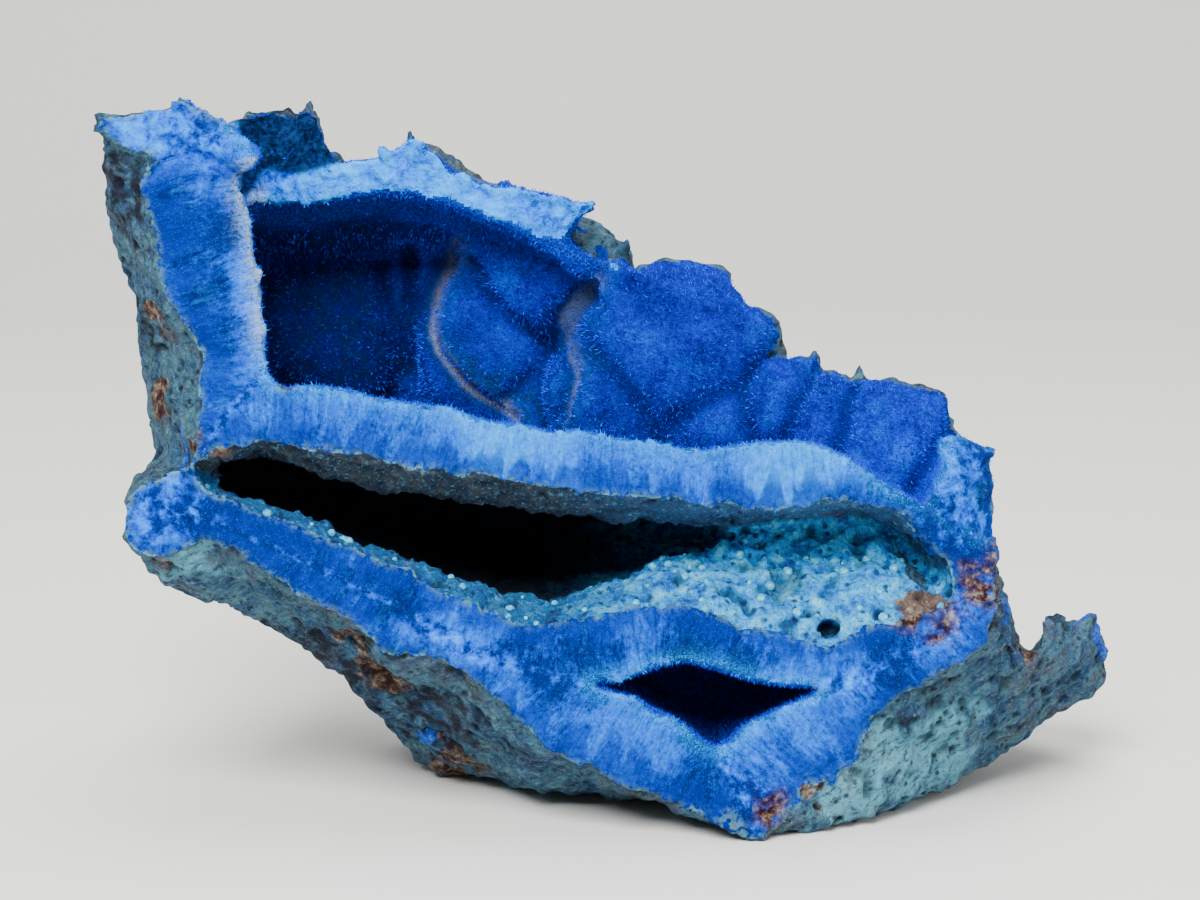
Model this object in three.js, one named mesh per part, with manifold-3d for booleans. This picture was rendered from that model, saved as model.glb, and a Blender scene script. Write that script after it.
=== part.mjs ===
// Shattuckite specimen: a broken lump of boxwork, walls of fibrous blue crystal around three hollows.
// Millimetres, +Z up, +X to the right of the broken face, +Y into the lump, origin under the middle of it.
import * as THREE from 'three';
import { mergeVertices } from 'three/addons/utils/BufferGeometryUtils.js';
import { ImprovedNoise } from 'three/addons/math/ImprovedNoise.js';
import Module from 'manifold-3d';

const wasm = await Module();
wasm.setup();

// ---- driving dimensions, mm ----
const VIEW_DISTANCE = 346;      // from the eye to the broken face
const VIEW_TILT = 9.7;          // degrees that the eye looks down
const STEP = 2.9;               // length of a facet along the outlines
const BACK_BULGE = 3.5;         // how far the hidden back swells behind its last outline
const UNDERCUT_LEFT = 4.5;      // how far the upper hollow reaches behind the left wall's rim
const UNDERCUT_FLOOR = 3.5;     // and behind the middle wall's rim
const RIND_LUMPS = 0.75;        // height of the lumps on the outer rind
const FACE_LEDGES = 0.4;        // height of the ledges on the broken face
const VELVET_WAVES = 0.3;       // height of the waves on the velvet lobes
const BALL = 0.55;              // radius of the little balls on the ledge in the lower slot
const FOOT_CUT = 0.9;           // depth worn flat where the lump stands
const SHORTEST_EDGE = 1.15;     // facets' edges shorter than this are merged away

// ---- the eye, and points on its lines of sight ----
const tilt = THREE.MathUtils.degToRad(VIEW_TILT);
const ahead = new THREE.Vector3(0, Math.cos(tilt), -Math.sin(tilt));
const up = new THREE.Vector3(0, Math.sin(tilt), Math.cos(tilt));
const eye = new THREE.Vector3(0, -VIEW_DISTANCE * Math.cos(tilt), 95.2);

// Outlines are given as seen: u mm to the right and v mm up from the middle of the view.
// seen() puts such a point at its depth y behind the front.
function seen(u, v, y) {
  const ray = ahead.clone().multiplyScalar(VIEW_DISTANCE).addScaledVector(up, v);
  ray.x += u;
  return eye.clone().addScaledVector(ray, (y - eye.y) / ray.y);
}

// ---- helpers ----
const perlin = new ImprovedNoise();
// Lumps of about `size` mm with smaller ones on them, between about -1 and 1.
function lumps(p, size, seed) {
  const at = (k, s) => perlin.noise(p.x / k + s, p.y / k - s * 1.7, p.z / k + s * 0.6);
  return 1.3 * at(size, seed) + 0.7 * at(size * 0.45, seed + 9.1);
}

// The noise bends a shape's surface in or out along its normals.
function roughen(geometry, height, size, seed) {
  const g = mergeVertices(geometry, 1e-4);
  g.computeVertexNormals();
  const p = new THREE.Vector3(), n = new THREE.Vector3();
  const { position, normal } = g.attributes;
  for (let i = 0; i < position.count; i++) {
    p.fromBufferAttribute(position, i);
    n.fromBufferAttribute(normal, i);
    p.addScaledVector(n, height * lumps(p, size, seed));
    position.setXYZ(i, p.x, p.y, p.z);
  }
  g.deleteAttribute('normal');
  return g;
}

// A closed solid through rings of points, each ring with the same number of them.
function loft(rings) {
  const count = rings[0].length;
  const points = rings.flat().map((p) => p.clone());
  const index = [];
  for (let r = 0; r < rings.length - 1; r++) {
    for (let i = 0; i < count; i++) {
      const j = (i + 1) % count, a = r * count, b = a + count;
      index.push(a + i, a + j, b + i, a + j, b + j, b + i);
    }
  }
  for (const [ring, flip] of [[0, true], [rings.length - 1, false]]) {
    const middle = new THREE.Vector3();
    rings[ring].forEach((p) => middle.addScaledVector(p, 1 / count));
    points.push(middle);
    for (let i = 0; i < count; i++) {
      const a = ring * count + i, b = ring * count + (i + 1) % count, c = points.length - 1;
      index.push(...(flip ? [b, a, c] : [a, b, c]));
    }
  }
  return faceOut(new THREE.BufferGeometry().setFromPoints(points).setIndex(index));
}

const shrunk = (ring, t) => {
  const middle = new THREE.Vector3();
  ring.forEach((p) => middle.addScaledVector(p, 1 / ring.length));
  return ring.map((p) => p.clone().lerp(middle, t));
};

// Turns every face out if the solid came out inside out.
function faceOut(geometry) {
  const { position } = geometry.attributes, index = geometry.index.array;
  const [a, b, c] = [0, 1, 2].map(() => new THREE.Vector3());
  let volume = 0;
  for (let i = 0; i < index.length; i += 3) {
    [a, b, c].forEach((p, k) => p.fromBufferAttribute(position, index[i + k]));
    volume += a.dot(b.cross(c));
  }
  if (volume < 0) {
    for (let i = 0; i < index.length; i += 3) [index[i], index[i + 1]] = [index[i + 1], index[i]];
  }
  return geometry;
}

function solid(geometry) {
  let g = geometry.clone();
  for (const name of ['normal', 'uv']) if (g.attributes[name]) g.deleteAttribute(name);
  g = mergeVertices(g, 1e-4);
  return new wasm.Manifold(new wasm.Mesh({
    numProp: 3,
    vertProperties: new Float32Array(g.attributes.position.array),
    triVerts: new Uint32Array(g.index.array),
  }));
}

function geometryOf(manifold) {
  const mesh = manifold.getMesh();
  const g = new THREE.BufferGeometry();
  g.setAttribute('position', new THREE.BufferAttribute(new Float32Array(mesh.vertProperties), 3));
  g.setIndex(new THREE.BufferAttribute(new Uint32Array(mesh.triVerts), 1));
  return g;
}

// Joins the ends of short edges wherever the skin stays closed and no face turns over.
function mergeShortEdges(geometry, shortest) {
  const points = [], around = [];
  const { position } = geometry.attributes, index = geometry.index.array;
  for (let i = 0; i < position.count; i++) {
    points.push(new THREE.Vector3().fromBufferAttribute(position, i));
    around.push(new Set());
  }
  const faces = [];
  for (let i = 0; i < index.length; i += 3) {
    faces.push([index[i], index[i + 1], index[i + 2]]);
    for (const v of faces.at(-1)) around[v].add(faces.length - 1);
  }
  const normalOf = ([a, b, c], moved, to) => {
    const [p, q, r] = [a, b, c].map((v) => (moved.includes(v) ? to : points[v]));
    return q.clone().sub(p).cross(r.clone().sub(p));
  };
  const beside = (v) => new Set([...around[v]].flatMap((f) => faces[f]).filter((w) => w !== v));
  // how well the faces around an edge keep their direction when its two ends move to one place
  const kept = (a, b, to) => {
    let worst = 1;
    for (const f of new Set([...around[a], ...around[b]])) {
      if (faces[f].includes(a) && faces[f].includes(b)) continue;
      const before = normalOf(faces[f], [], to), after = normalOf(faces[f], [a, b], to);
      if (after.length() < 0.02) return -1;
      if (before.length() > 0.02) worst = Math.min(worst, before.normalize().dot(after.normalize()));
    }
    return worst;
  };
  for (const limit of [0.3, 0.6, 0.8, 1, 1]) {
    for (let a = 0; a < points.length; a++) {
      for (const b of beside(a)) {
        if (b < a || points[a].distanceTo(points[b]) > shortest * limit) continue;
        const [near, far] = [beside(a), beside(b)];
        if ([...near].filter((v) => far.has(v)).length !== 2) continue;
        const choices = [points[a].clone(), points[b].clone(), points[a].clone().lerp(points[b], 0.5)];
        const scores = choices.map((to) => kept(a, b, to)), best = Math.max(...scores);
        if (best < 0.55) continue;
        points[a] = choices[scores.indexOf(best)];
        for (const f of around[b]) {
          if (faces[f].includes(a)) {
            faces[f].forEach((v) => v !== b && around[v].delete(f));
            faces[f] = null;
          } else {
            faces[f] = faces[f].map((v) => (v === b ? a : v));
            around[a].add(f);
          }
        }
        around[b].clear();
        break;
      }
    }
  }
  const g = new THREE.BufferGeometry().setFromPoints(points).setIndex(faces.filter(Boolean).flat());
  return mergeVertices(g, 1e-5);
}

// Evenly spaced points along a closed ring of [u, v, y].
function ringOf(points, pieces) {
  const curve = new THREE.CatmullRomCurve3(points.map((p) => new THREE.Vector3(...p)), true, 'centripetal');
  return curve.getSpacedPoints(pieces).slice(0, pieces);
}

// ---- the whole lump, before it is hollowed ----
// Each stave runs from the broken face over the lump's widest place to the hidden back, as three [u, v, y].
const staves = [
  // spiky tip of the left wall and its top
  [[-45.5, 30, 8], [-45.5, 25, 17], [-37.5, 21.5, 40]],
  [[-38, 31.5, 8], [-37.5, 29.5, 20], [-33.5, 24, 41]],
  [[-33.5, 30, 9], [-33, 30, 27], [-28.5, 25.5, 42]],
  // jagged roof of the upper hollow
  [[-27.5, 30, 23], [-26.5, 30.5, 31], [-23.5, 26, 44]],
  [[-23.5, 26, 22], [-23.5, 26, 30], [-21, 24, 45]],
  [[-17, 28, 21], [-17.5, 28, 30], [-14, 23, 46]],
  [[-11, 24.5, 21], [-11, 24.5, 30], [-8.5, 20.5, 46]],
  [[-1.5, 22.5, 21], [-2, 22, 28], [-4.5, 18.5, 46]],
  [[-3.5, 19.5, 22], [-2.5, 18.8, 28], [-3, 16, 46]],
  // crest over the lobes
  [[1.5, 17, 22], [1.8, 16.6, 28], [1, 13.5, 46]],
  [[7, 15.3, 20], [7, 15, 28], [5.5, 12, 44]],
  [[13, 10.5, 18], [13.2, 9.8, 25], [10.5, 7, 42]],
  [[19, 7, 14], [19, 7, 21], [15.5, 4.5, 39]],
  [[25, 6, 12], [25.5, 6, 19], [20, 3, 37]],
  [[31, 3.5, 10], [31.5, 3, 17], [25, 0, 36]],
  // broken right end
  [[35.5, -0.5, 10], [35.5, -0.5, 17], [28, -3, 36]],
  [[36, -8.5, 8], [36, -9, 17], [29, -7.5, 36]],
  [[36.5, -13.5, 7], [37, -14, 17], [30.5, -11, 37]],
  [[36, -15.5, 5.5], [39.5, -18, 22], [31.5, -13, 39]],
  // horn and long edge of the right flank
  [[34.5, -16.7, 4], [45.5, -15.6, 30], [33.5, -15.5, 41]],
  [[33.5, -17.5, 4], [47, -18.5, 31], [35.5, -17.5, 42]],
  [[29.5, -20.5, 3], [42.5, -24, 27], [32, -22, 42]],
  [[23, -26, 2], [35.5, -28.5, 20], [26.5, -24.5, 42]],
  [[17.5, -30, 1], [26, -33.5, 8], [20, -25, 42]],
  // lowest tip
  [[14.5, -35.5, 0], [15, -35, 3], [13, -24.5, 42]],
  [[9, -34, 1], [9.5, -33, 9], [8.5, -24.5, 42]],
  // underside, running up to the left
  [[3.5, -31.5, 1.5], [3.5, -31.8, 12], [3.5, -24.5, 41]],
  [[-0.5, -29.5, 2], [-1, -31.6, 15], [-1, -25, 40]],
  [[-4.5, -27, 2], [-6, -31.5, 15.5], [-5.5, -25.5, 40]],
  [[-9, -23.5, 3], [-11, -30, 21], [-11, -26.8, 40]],
  [[-14, -20, 3], [-15.5, -29, 24], [-14.5, -27.3, 39]],
  [[-18.5, -18, 3], [-18.5, -26.5, 22], [-17.5, -25.3, 38]],
  [[-25, -14.5, 4], [-23.5, -20.5, 18], [-21, -15.5, 40]],
  [[-31.5, -10.5, 5], [-29, -17, 16], [-25.5, -11, 40]],
  [[-36, -8.5, 5], [-33.5, -14, 14], [-28, -8.5, 39]],
  // lump at the left end of the lower wall, and the notch over it
  [[-41, -10, 6], [-39.5, -12.5, 12], [-30.5, -6.5, 38]],
  [[-43, -7.5, 6], [-43, -7.5, 12], [-33, -3, 38]],
  [[-42.5, -3, 6], [-42, -2.5, 14], [-34.5, 1, 38]],
  [[-38, -1.5, 6], [-41, -1, 16], [-35.5, 3.5, 38]],
  // left flank, up to the tip
  [[-37, 1, 5], [-41.5, 2, 20], [-36.5, 5.5, 38]],
  [[-37, 9, 5], [-42, 8.5, 22], [-37, 10, 38]],
  [[-39.5, 14.5, 5], [-42.5, 13, 22], [-37.5, 14.5, 38]],
  [[-41.5, 21.5, 6], [-44.5, 19.5, 20], [-38.5, 19, 38]],
  [[-42.5, 26.5, 7], [-45.5, 23, 18], [-38.5, 20.5, 40]],
];

function wholeLump() {
  const curves = [0, 1, 2].map((k) => new THREE.CatmullRomCurve3(
    staves.map((s) => new THREE.Vector3(...s[k])), true, 'centripetal'));
  const lengthwise = [];
  staves.forEach((s, i) => {
    const next = staves[(i + 1) % staves.length];
    const gap = new THREE.Vector3(...s[1]).distanceTo(new THREE.Vector3(...next[1]));
    const pieces = Math.max(1, Math.round(gap / STEP));
    for (let j = 0; j < pieces; j++) {
      lengthwise.push(curves.map((c) => c.getPoint((i + j / pieces) / staves.length)));
    }
  });
  const around = lengthwise.length;
  const rings = [lengthwise.map(([face]) => seen(face.x, face.y, face.z - 12))];
  const ribs = lengthwise.map((points) => new THREE.CatmullRomCurve3(points.map((q) => seen(q.x, q.y, q.z))));
  for (let r = 0; r <= 15; r++) rings.push(ribs.map((rib) => rib.getPoint(r / 15)));
  const middle = new THREE.Vector3();
  rings.at(-1).forEach((p) => middle.addScaledVector(p, 1 / around));
  for (const [shrink, bulge] of [[0.78, 0.55], [0.5, 0.9], [0.22, 1]]) {
    rings.push(rings[16].map((p) => p.clone().lerp(middle, 1 - shrink)
      .add(new THREE.Vector3(0, bulge * BACK_BULGE, 0))));
  }
  return solid(roughen(loft(rings), RIND_LUMPS, 6.5, 3));
}

// ---- the broken face ----
// How deep the break lies at places on it, [u, v, y]; between them it eases from one to the next.
const breakDepths = [
  [-45.5, 30, 8], [-38, 29, 8], [-34, 27, 8], [-38, 20, 6], [-35, 10, 5], [-34, 3, 4], [-20, 3, 2.5],
  [-5, 0, 1], [10, -2, 1], [20, -2, 2], [28, -5, 5], [33, -9, 7], [36, -13, 8], [-41, -5, 6],
  [-30, -8.5, 4], [-17, -14, 3], [-5, -21, 2], [0, -18, 2], [9, -17, 2], [18, -20, 2.5], [28, -18, 4],
  [34, -16, 6], [14, -34, 0], [5, -27, 1], [23, -23, 3],
];
function breakDepth(u, v) {
  let sum = 0, weight = 0;
  for (const [pu, pv, depth] of breakDepths) {
    const w = 1 / (Math.hypot(u - pu, v - pv) ** 2.5 + 2);
    sum += w * depth;
    weight += w;
  }
  return sum / weight;
}

// What broke away in front: a block whose back side is the broken face.
function brokenAway() {
  const wide = 106, high = 78, across = Math.round(wide / 2.3), rows = Math.round(high / 2.3);
  const g = new THREE.BoxGeometry(wide, high, 1, across, rows, 1);
  const { position } = g.attributes;
  for (let i = 0; i < position.count; i++) {
    const u = position.getX(i), v = position.getY(i) - 1;
    let p = seen(u, v, -30);
    if (position.getZ(i) < 0) {
      p = seen(u, v, breakDepth(u, v));
      p.y += FACE_LEDGES * lumps(p, 3.4, 21);
    }
    position.setXYZ(i, p.x, p.y, p.z);
  }
  g.deleteAttribute('normal');
  g.deleteAttribute('uv');
  return solid(faceOut(mergeVertices(g, 1e-4)));
}

// ---- the upper hollow ----
const leftRim = [
  [-33.5, 44], [-33.4, 30], [-31.6, 26.7], [-32.7, 24.2], [-31.9, 21], [-31, 17.5], [-30.5, 12], [-30, 6.5]];
const middleRim = [
  [-24, 6], [-18.5, 5], [-13, 3.5], [-6.5, 2.5], [0, 1.5], [7.5, 0.5], [13, 0.5], [17.5, 1],
  [23, -0.5], [26.5, -3], [30, -5], [33, -7.5], [40, -8],
];
const beyond = [[46, 4], [40, 20], [24, 34], [4, 42], [-16, 46]];

// How far back the hollow reaches before its lobes, [u, y] from left to right.
const hollowDepths = [
  [-60, 24], [2.5, 24], [6, 27], [10, 27], [16, 23], [21, 20], [26, 18], [32, 15.5], [60, 12]];
function hollowDepth(u) {
  const i = hollowDepths.findIndex(([end]) => end > u);
  const [[u0, y0], [u1, y1]] = [hollowDepths[i - 1], hollowDepths[i]];
  return THREE.MathUtils.mapLinear(u, u0, u1, y0, y1);
}

function upperHollow() {
  const ring = (depth, left, floor) => {
    const outline = [
      ...leftRim.map(([u, v]) => [u - left, v]),
      ...middleRim.map(([u, v]) => [u, v - floor * THREE.MathUtils.smoothstep(34 - u, 0, 30)]),
      ...beyond];
    return ringOf(outline.map(([u, v]) => [u, v, 0]), 100).map((p) => seen(p.x, p.y, depth(p.x, p.y)));
  };
  const part = (t) => (u, v) => Math.max(t * hollowDepth(u), breakDepth(u, v) + 1.5);
  return solid(roughen(loft([
    ring(() => -15, 0, 0), ring((u, v) => breakDepth(u, v) + 0.8, 0, 0),
    ring(part(0.42), UNDERCUT_LEFT * 0.7, UNDERCUT_FLOOR * 0.6),
    ring(part(0.7), UNDERCUT_LEFT, UNDERCUT_FLOOR),
    ...[0, 0.25, 0.5, 0.75].map((t) => shrunk(ring(part(1), UNDERCUT_LEFT, UNDERCUT_FLOOR), t)),
  ]), 0.5, 4, 7));
}

// The deep end of it, under the roof: left side, floor, right side, roof.
const deepEnd = [
  [-36.5, 21], [-35.5, 16], [-34.5, 11], [-34, 4.5], [-28, 2.5], [-20, 2], [-13, 0], [-6, -0.5], [0, -0.5],
  [4, 3], [4.5, 7], [3, 11], [0, 14], [-4, 17.5], [-9, 20.4], [-14, 22.2], [-18.5, 23.5], [-23, 23],
  [-27.5, 22.5], [-31.5, 22.5],
];
function deepHollow() {
  // the roof hangs lower behind its broken edge
  const ring = (y, grow, droop) => ringOf(deepEnd.map(([u, v]) => [
    -15 + (u + 15) * grow, 11 + (v - 11) * grow - (v > 15 ? droop : 0), 0]), 56)
    .map((p) => seen(p.x, p.y, y));
  return solid(roughen(loft([
    ring(15, 0.97, 0), ring(21, 1, 0), ring(26, 1, 0), ring(31, 0.98, 3.5), ring(36, 0.9, 4),
    ring(40, 0.72, 3), ring(42, 0.4, 1)]), VELVET_WAVES, 4, 11));
}

// Velvet lobes on its back wall: centre [u, v, y] and the three half-widths.
const lobes = [
  [-24, 11, 43, 9.5, 8, 9.5],
  [-15, 12, 44.5, 12, 8, 11],
  [-9.6, 9.5, 38, 8.6, 11, 10],
  [-4, 3.4, 35, 7.6, 10, 7.2],
  [-4.4, 15.6, 35, 8, 9, 7],
  [6.9, 7.6, 29, 11.4, 12.5, 10.3],
  [1.6, 4.6, 28, 8, 11, 8],
  [0, 11, 38, 6.5, 7.5, 6],
  [10.6, 3, 27, 8.2, 11.4, 7.2],
  [16.2, 3.6, 23, 5.2, 8.5, 6],
  [20.6, 1.8, 20.2, 5.6, 8.6, 5.6],
  [26, 0.4, 18, 7.2, 9, 6.3],
  [31, -3.4, 16, 5, 7.5, 6],
  [31.8, -7.5, 15.5, 4, 7.5, 5],
];
function lobe([u, v, y, wide, deep, high], i) {
  const g = new THREE.IcosahedronGeometry(1, wide > 8 ? 5 : 4);
  g.deleteAttribute('normal');
  g.deleteAttribute('uv');
  g.scale(wide, deep, high);
  const c = seen(u, v, y);
  g.translate(c.x, c.y, c.z);
  return solid(roughen(g, VELVET_WAVES, 4, 15 + i));
}

// ---- the lower slot ----
// Columns across it: [u, ceiling v, floor v], at its mouth and where its ceiling hangs lowest.
const slotMouth = [
  [-37.3, -1.2, -2.6], [-34, 0.5, -5], [-30.5, 1, -6.5], [-25, 0.5, -8.5], [-18.5, -1, -11],
  [-12, -2.5, -14.5], [-5.5, -3.3, -16.3], [0, -4, -15.5], [4.5, -4.5, -14.5], [9, -5, -15],
  [14, -5.5, -17], [18.5, -5.5, -18.5], [23, -4.8, -18.7], [27.5, -6, -17.8], [32, -11, -16],
];
const slotThroat = [
  [-37, -1.6, -2.6], [-34, -0.5, -4.5], [-30.5, -0.6, -5.2], [-25, -2.5, -7], [-18.5, -3.8, -9.5],
  [-12, -5, -11.7], [-5.5, -6.3, -12.8], [0, -7, -11], [4.5, -7.3, -9.2], [9, -6.6, -8],
  [14, -6, -7.2], [18.5, -5.9, -6.9], [22.5, -5.6, -6.6], [26.5, -6.6, -7.6], [30, -11, -12],
];
function columnsRing(columns, depth) {
  const ceiling = columns.map(([u, top]) => [u, top, depth(u)]);
  const floor = columns.map(([u, , bottom]) => [u, bottom, depth(u)]).reverse();
  return ringOf([...ceiling, ...floor], 72).map((p) => seen(p.x, p.y, p.z));
}
function lowerSlot() {
  const throat = (t) => (u) => t * THREE.MathUtils.clamp(11 + 0.14 * (u + 5), 9, 14.5);
  const halfway = slotMouth.map(([u, top, bottom], i) => [
    u, (top + slotThroat[i][1]) / 2, bottom * 0.4 + slotThroat[i][2] * 0.6]);
  return solid(roughen(loft([
    columnsRing(slotMouth, () => -10), columnsRing(slotMouth, () => 3), columnsRing(halfway, throat(0.6)),
    columnsRing(slotThroat, throat(1))]), 0.45, 4, 31));
}

// The dark cave behind its throat.
const cave = [
  [-36.5, -1.6, -3.2], [-33, -0.6, -5.5], [-28, -1.2, -7.6], [-22, -2.6, -10], [-15, -3.8, -13],
  [-8, -5, -14.5], [-2, -6, -14], [4, -6.8, -12], [8.5, -7, -10], [12, -7.2, -8.8],
];
function slotCave() {
  const ring = (y, grow, rise) => columnsRing(cave.map(([u, top, bottom]) => [
    -12 + (u + 12) * grow, -7 + (top + 7) * grow + rise, -7 + (bottom + 7) * grow + rise]), () => y);
  return solid(roughen(loft([
    ring(9, 0.97, 0), ring(14, 1, 0.3), ring(20, 0.97, 0.8), ring(26, 0.85, 1.2), ring(30, 0.55, 1.2),
  ]), 0.45, 4, 37));
}

// ---- the eye-shaped hollow between the lower walls ----
const eyeMouth = [
  [-2, -21.5], [2.5, -21], [5, -20], [8.5, -19.5], [11, -20.5], [14.5, -21.5], [20.5, -21.9], [17.5, -23],
  [14.5, -24.5], [12.5, -26], [10.5, -27.4], [8.5, -26], [5.5, -24], [2.5, -22.5],
];
function eyeHollow() {
  const ring = (y, grow, lift) => ringOf(eyeMouth.map(([u, v]) => [
    9.5 + (u - 9.5) * grow, -23 + (v + 23) * grow + lift, y]), 36).map((p) => seen(p.x, p.y, p.z));
  return solid(roughen(loft([
    ring(-10, 1, 0), ring(3, 1, 0), ring(7, 1.12, 0), ring(12, 1.1, 0.3), ring(17, 0.9, 0.8),
    ring(20, 0.5, 1)]), 0.3, 3.5, 41));
}

// ---- small things, each set where the line of sight through [u, v] meets the lump ----
const balls = [
  [-17.5, -10.4], [-16.3, -10.9], [-14, -11.3], [-12.6, -11.6], [-11.4, -11.9], [-9.8, -12.4], [-8.2, -12.2],
  [-6.3, -12.9], [-4.9, -14.2], [-2.5, -12.8], [-0.5, -11.9], [7.5, -14.2], [9.5, -14.8], [12.5, -14.9],
  [14.5, -12.5], [16.8, -14.2], [17.2, -16.2], [19.5, -15.1], [21.5, -13], [21.9, -18.2], [24.2, -15.9],
  [25.8, -16.4], [28, -13.6], [-16.1, -1.2],
];
// [u, v, radius]
const pits = [
  [21.1, -16.1, 1], [-20.7, -20.8, 1.5], [-23, -17.6, 1.2], [14.6, -32.6, 0.9], [-15.5, -26.2, 1.1],
  [39.8, -17.2, 1.6], [18.5, -8.6, 0.8], [22.5, -9.6, 0.9], [35.3, -4.8, 1.1],
];
// Splinters on the rims: foot [u, v], tip [u, v] and the depth of both.
const splinters = [
  [19.6, 6.4, 20.4, 9.4, 17], [-2.5, 21.5, -0.8, 22.6, 23], [-17.3, 26.8, -17.6, 28.4, 24],
  [-27.5, 29, -28, 30.7, 27], [25.6, 5.2, 24.6, 7, 15], [2, 16, 2.4, 17.6, 24], [-43.5, 29.6, -46, 30.2, 8],
];

function splinter([u0, v0, u1, v1, y]) {
  const foot = seen(u0, v0, y), tip = seen(u1, v1, y);
  const along = tip.clone().sub(foot), g = new THREE.ConeGeometry(0.8, along.length() + 1.2, 5);
  g.deleteAttribute('normal');
  g.deleteAttribute('uv');
  g.applyQuaternion(new THREE.Quaternion().setFromUnitVectors(
    new THREE.Vector3(0, 1, 0), along.clone().normalize()));
  const middle = foot.lerp(tip, 0.5).addScaledVector(along.normalize(), -0.6);
  g.translate(middle.x, middle.y, middle.z);
  return solid(mergeVertices(g, 1e-4));
}

function small(radius, detail, at) {
  const g = new THREE.IcosahedronGeometry(radius, detail);
  g.rotateX(at.x).rotateY(at.z);
  g.translate(at.x, at.y, at.z);
  return solid(g);
}

// ---- joining and cutting ----
let lump = wholeLump().subtract(upperHollow()).subtract(deepHollow());
lobes.forEach((l, i) => { lump = lump.add(lobe(l, i)); });
lump = lump.subtract(lowerSlot()).subtract(slotCave()).subtract(eyeHollow());
splinters.forEach((s) => { lump = lump.add(splinter(s)); });
lump = lump.subtract(brokenAway());
lump = solid(mergeShortEdges(geometryOf(lump), SHORTEST_EDGE));

const surface = new THREE.Mesh(geometryOf(lump), new THREE.MeshBasicMaterial({ side: THREE.DoubleSide }));
surface.updateMatrixWorld();
function touched(u, v) {
  const towards = seen(u, v, 0).sub(eye).normalize();
  const hit = new THREE.Raycaster(eye, towards).intersectObject(surface)[0];
  return hit && { at: hit.point, towards };
}
for (const [u, v, radius] of pits) {
  const place = touched(u, v);
  if (place) lump = lump.subtract(small(radius, 1, place.at));
}
for (const [u, v] of balls) {
  const place = touched(u, v);
  if (place) lump = lump.add(small(BALL, 0, place.at));
}

// ---- standing: the lowest points are worn flat, and the origin is put under the middle ----
const low = new THREE.Box3().setFromBufferAttribute(geometryOf(lump).attributes.position).min.z;
const ground = new THREE.BoxGeometry(200, 200, 20).translate(0, 20, low + FOOT_CUT - 10);
lump = lump.subtract(solid(ground));

const geometry = geometryOf(lump);
geometry.computeBoundingBox();
const { min, max } = geometry.boundingBox;
geometry.translate(-(min.x + max.x) / 2, -(min.y + max.y) / 2, -min.z);
geometry.computeVertexNormals();

const stone = new THREE.MeshStandardMaterial({ color: 0x2f66c4, roughness: 0.8, metalness: 0 });
const mesh = new THREE.Mesh(geometry, stone);
mesh.name = 'shattuckite';

const group = new THREE.Group();
group.add(mesh);
export default group;
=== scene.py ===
"""Dresses the shattuckite lump: fibrous broken walls, velvet lobes, pitted rind, nap and little balls."""
import math
import bpy
import numpy as np
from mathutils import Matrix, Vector


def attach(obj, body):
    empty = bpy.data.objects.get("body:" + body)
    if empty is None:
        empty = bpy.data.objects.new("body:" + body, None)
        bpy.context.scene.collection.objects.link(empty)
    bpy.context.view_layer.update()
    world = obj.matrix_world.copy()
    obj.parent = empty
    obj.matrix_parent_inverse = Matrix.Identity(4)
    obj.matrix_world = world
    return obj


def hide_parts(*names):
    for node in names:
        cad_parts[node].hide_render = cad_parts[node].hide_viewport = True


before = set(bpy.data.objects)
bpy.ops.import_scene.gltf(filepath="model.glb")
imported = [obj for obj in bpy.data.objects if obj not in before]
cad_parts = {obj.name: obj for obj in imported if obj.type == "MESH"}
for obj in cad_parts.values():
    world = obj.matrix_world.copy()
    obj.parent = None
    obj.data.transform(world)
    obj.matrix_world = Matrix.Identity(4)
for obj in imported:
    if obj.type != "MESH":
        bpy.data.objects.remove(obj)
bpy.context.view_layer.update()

NODE = "shattuckite"
BODY = "root"

bl_info = {
    "name": "Shattuckite specimen",
    "version": (1, 0, 0),
    "blender": (4, 5, 0),
    "location": "3D View > Sidebar > Specimen",
    "description": "Grows the fine crystal surface of a shattuckite lump over its solid",
    "category": "Add Mesh",
}

MM = 0.001
FAR = 1e9

# The eye in front of the lump, in mm from the lump's own zero, which lies at LUMP_ZERO in the frame.
VIEW_DISTANCE = 346.0
VIEW_TILT = math.radians(9.7)
LUMP_ZERO = np.array([-1.8436, -26.1990, 0.4098])
AHEAD = np.array([0.0, math.cos(VIEW_TILT), -math.sin(VIEW_TILT)])
UP = np.array([0.0, math.sin(VIEW_TILT), math.cos(VIEW_TILT)])
EYE = np.array([0.0, -VIEW_DISTANCE * math.cos(VIEW_TILT), 95.2])
SENSOR_MM = 36
FOCAL_PIXELS = 3765
PICTURE_PIXELS = 1200

# Outlines as seen from the eye: mm to the right and mm up from the middle of the view.
HOLLOW_LEFT_RIM = [(-33.5, 44), (-33.4, 30), (-31.6, 26.7), (-32.7, 24.2), (-31.9, 21), (-31, 17.5),
    (-30.5, 12), (-30, 6.5)]
HOLLOW_FLOOR_RIM = [(-24, 6), (-18.5, 5), (-13, 3.5), (-6.5, 2.5), (0, 1.5), (7.5, 0.5), (13, 0.5), (17.5, 1),
    (23, -0.5), (26.5, -3), (30, -5), (33, -7.5), (40, -8)]
HOLLOW_BEYOND = [(46, 4), (40, 20), (24, 34), (4, 42), (-16, 46)]
DEEP_END = [(-36.5, 21), (-35.5, 16), (-34.5, 11), (-34, 4.5), (-28, 2.5), (-20, 2), (-13, 0), (-6, -0.5),
    (0, -0.5), (4, 3), (4.5, 7), (3, 11), (0, 14), (-4, 17.5), (-9, 20.4), (-14, 22.2), (-18.5, 23.5),
    (-23, 23), (-27.5, 22.5), (-31.5, 22.5)]
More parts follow.
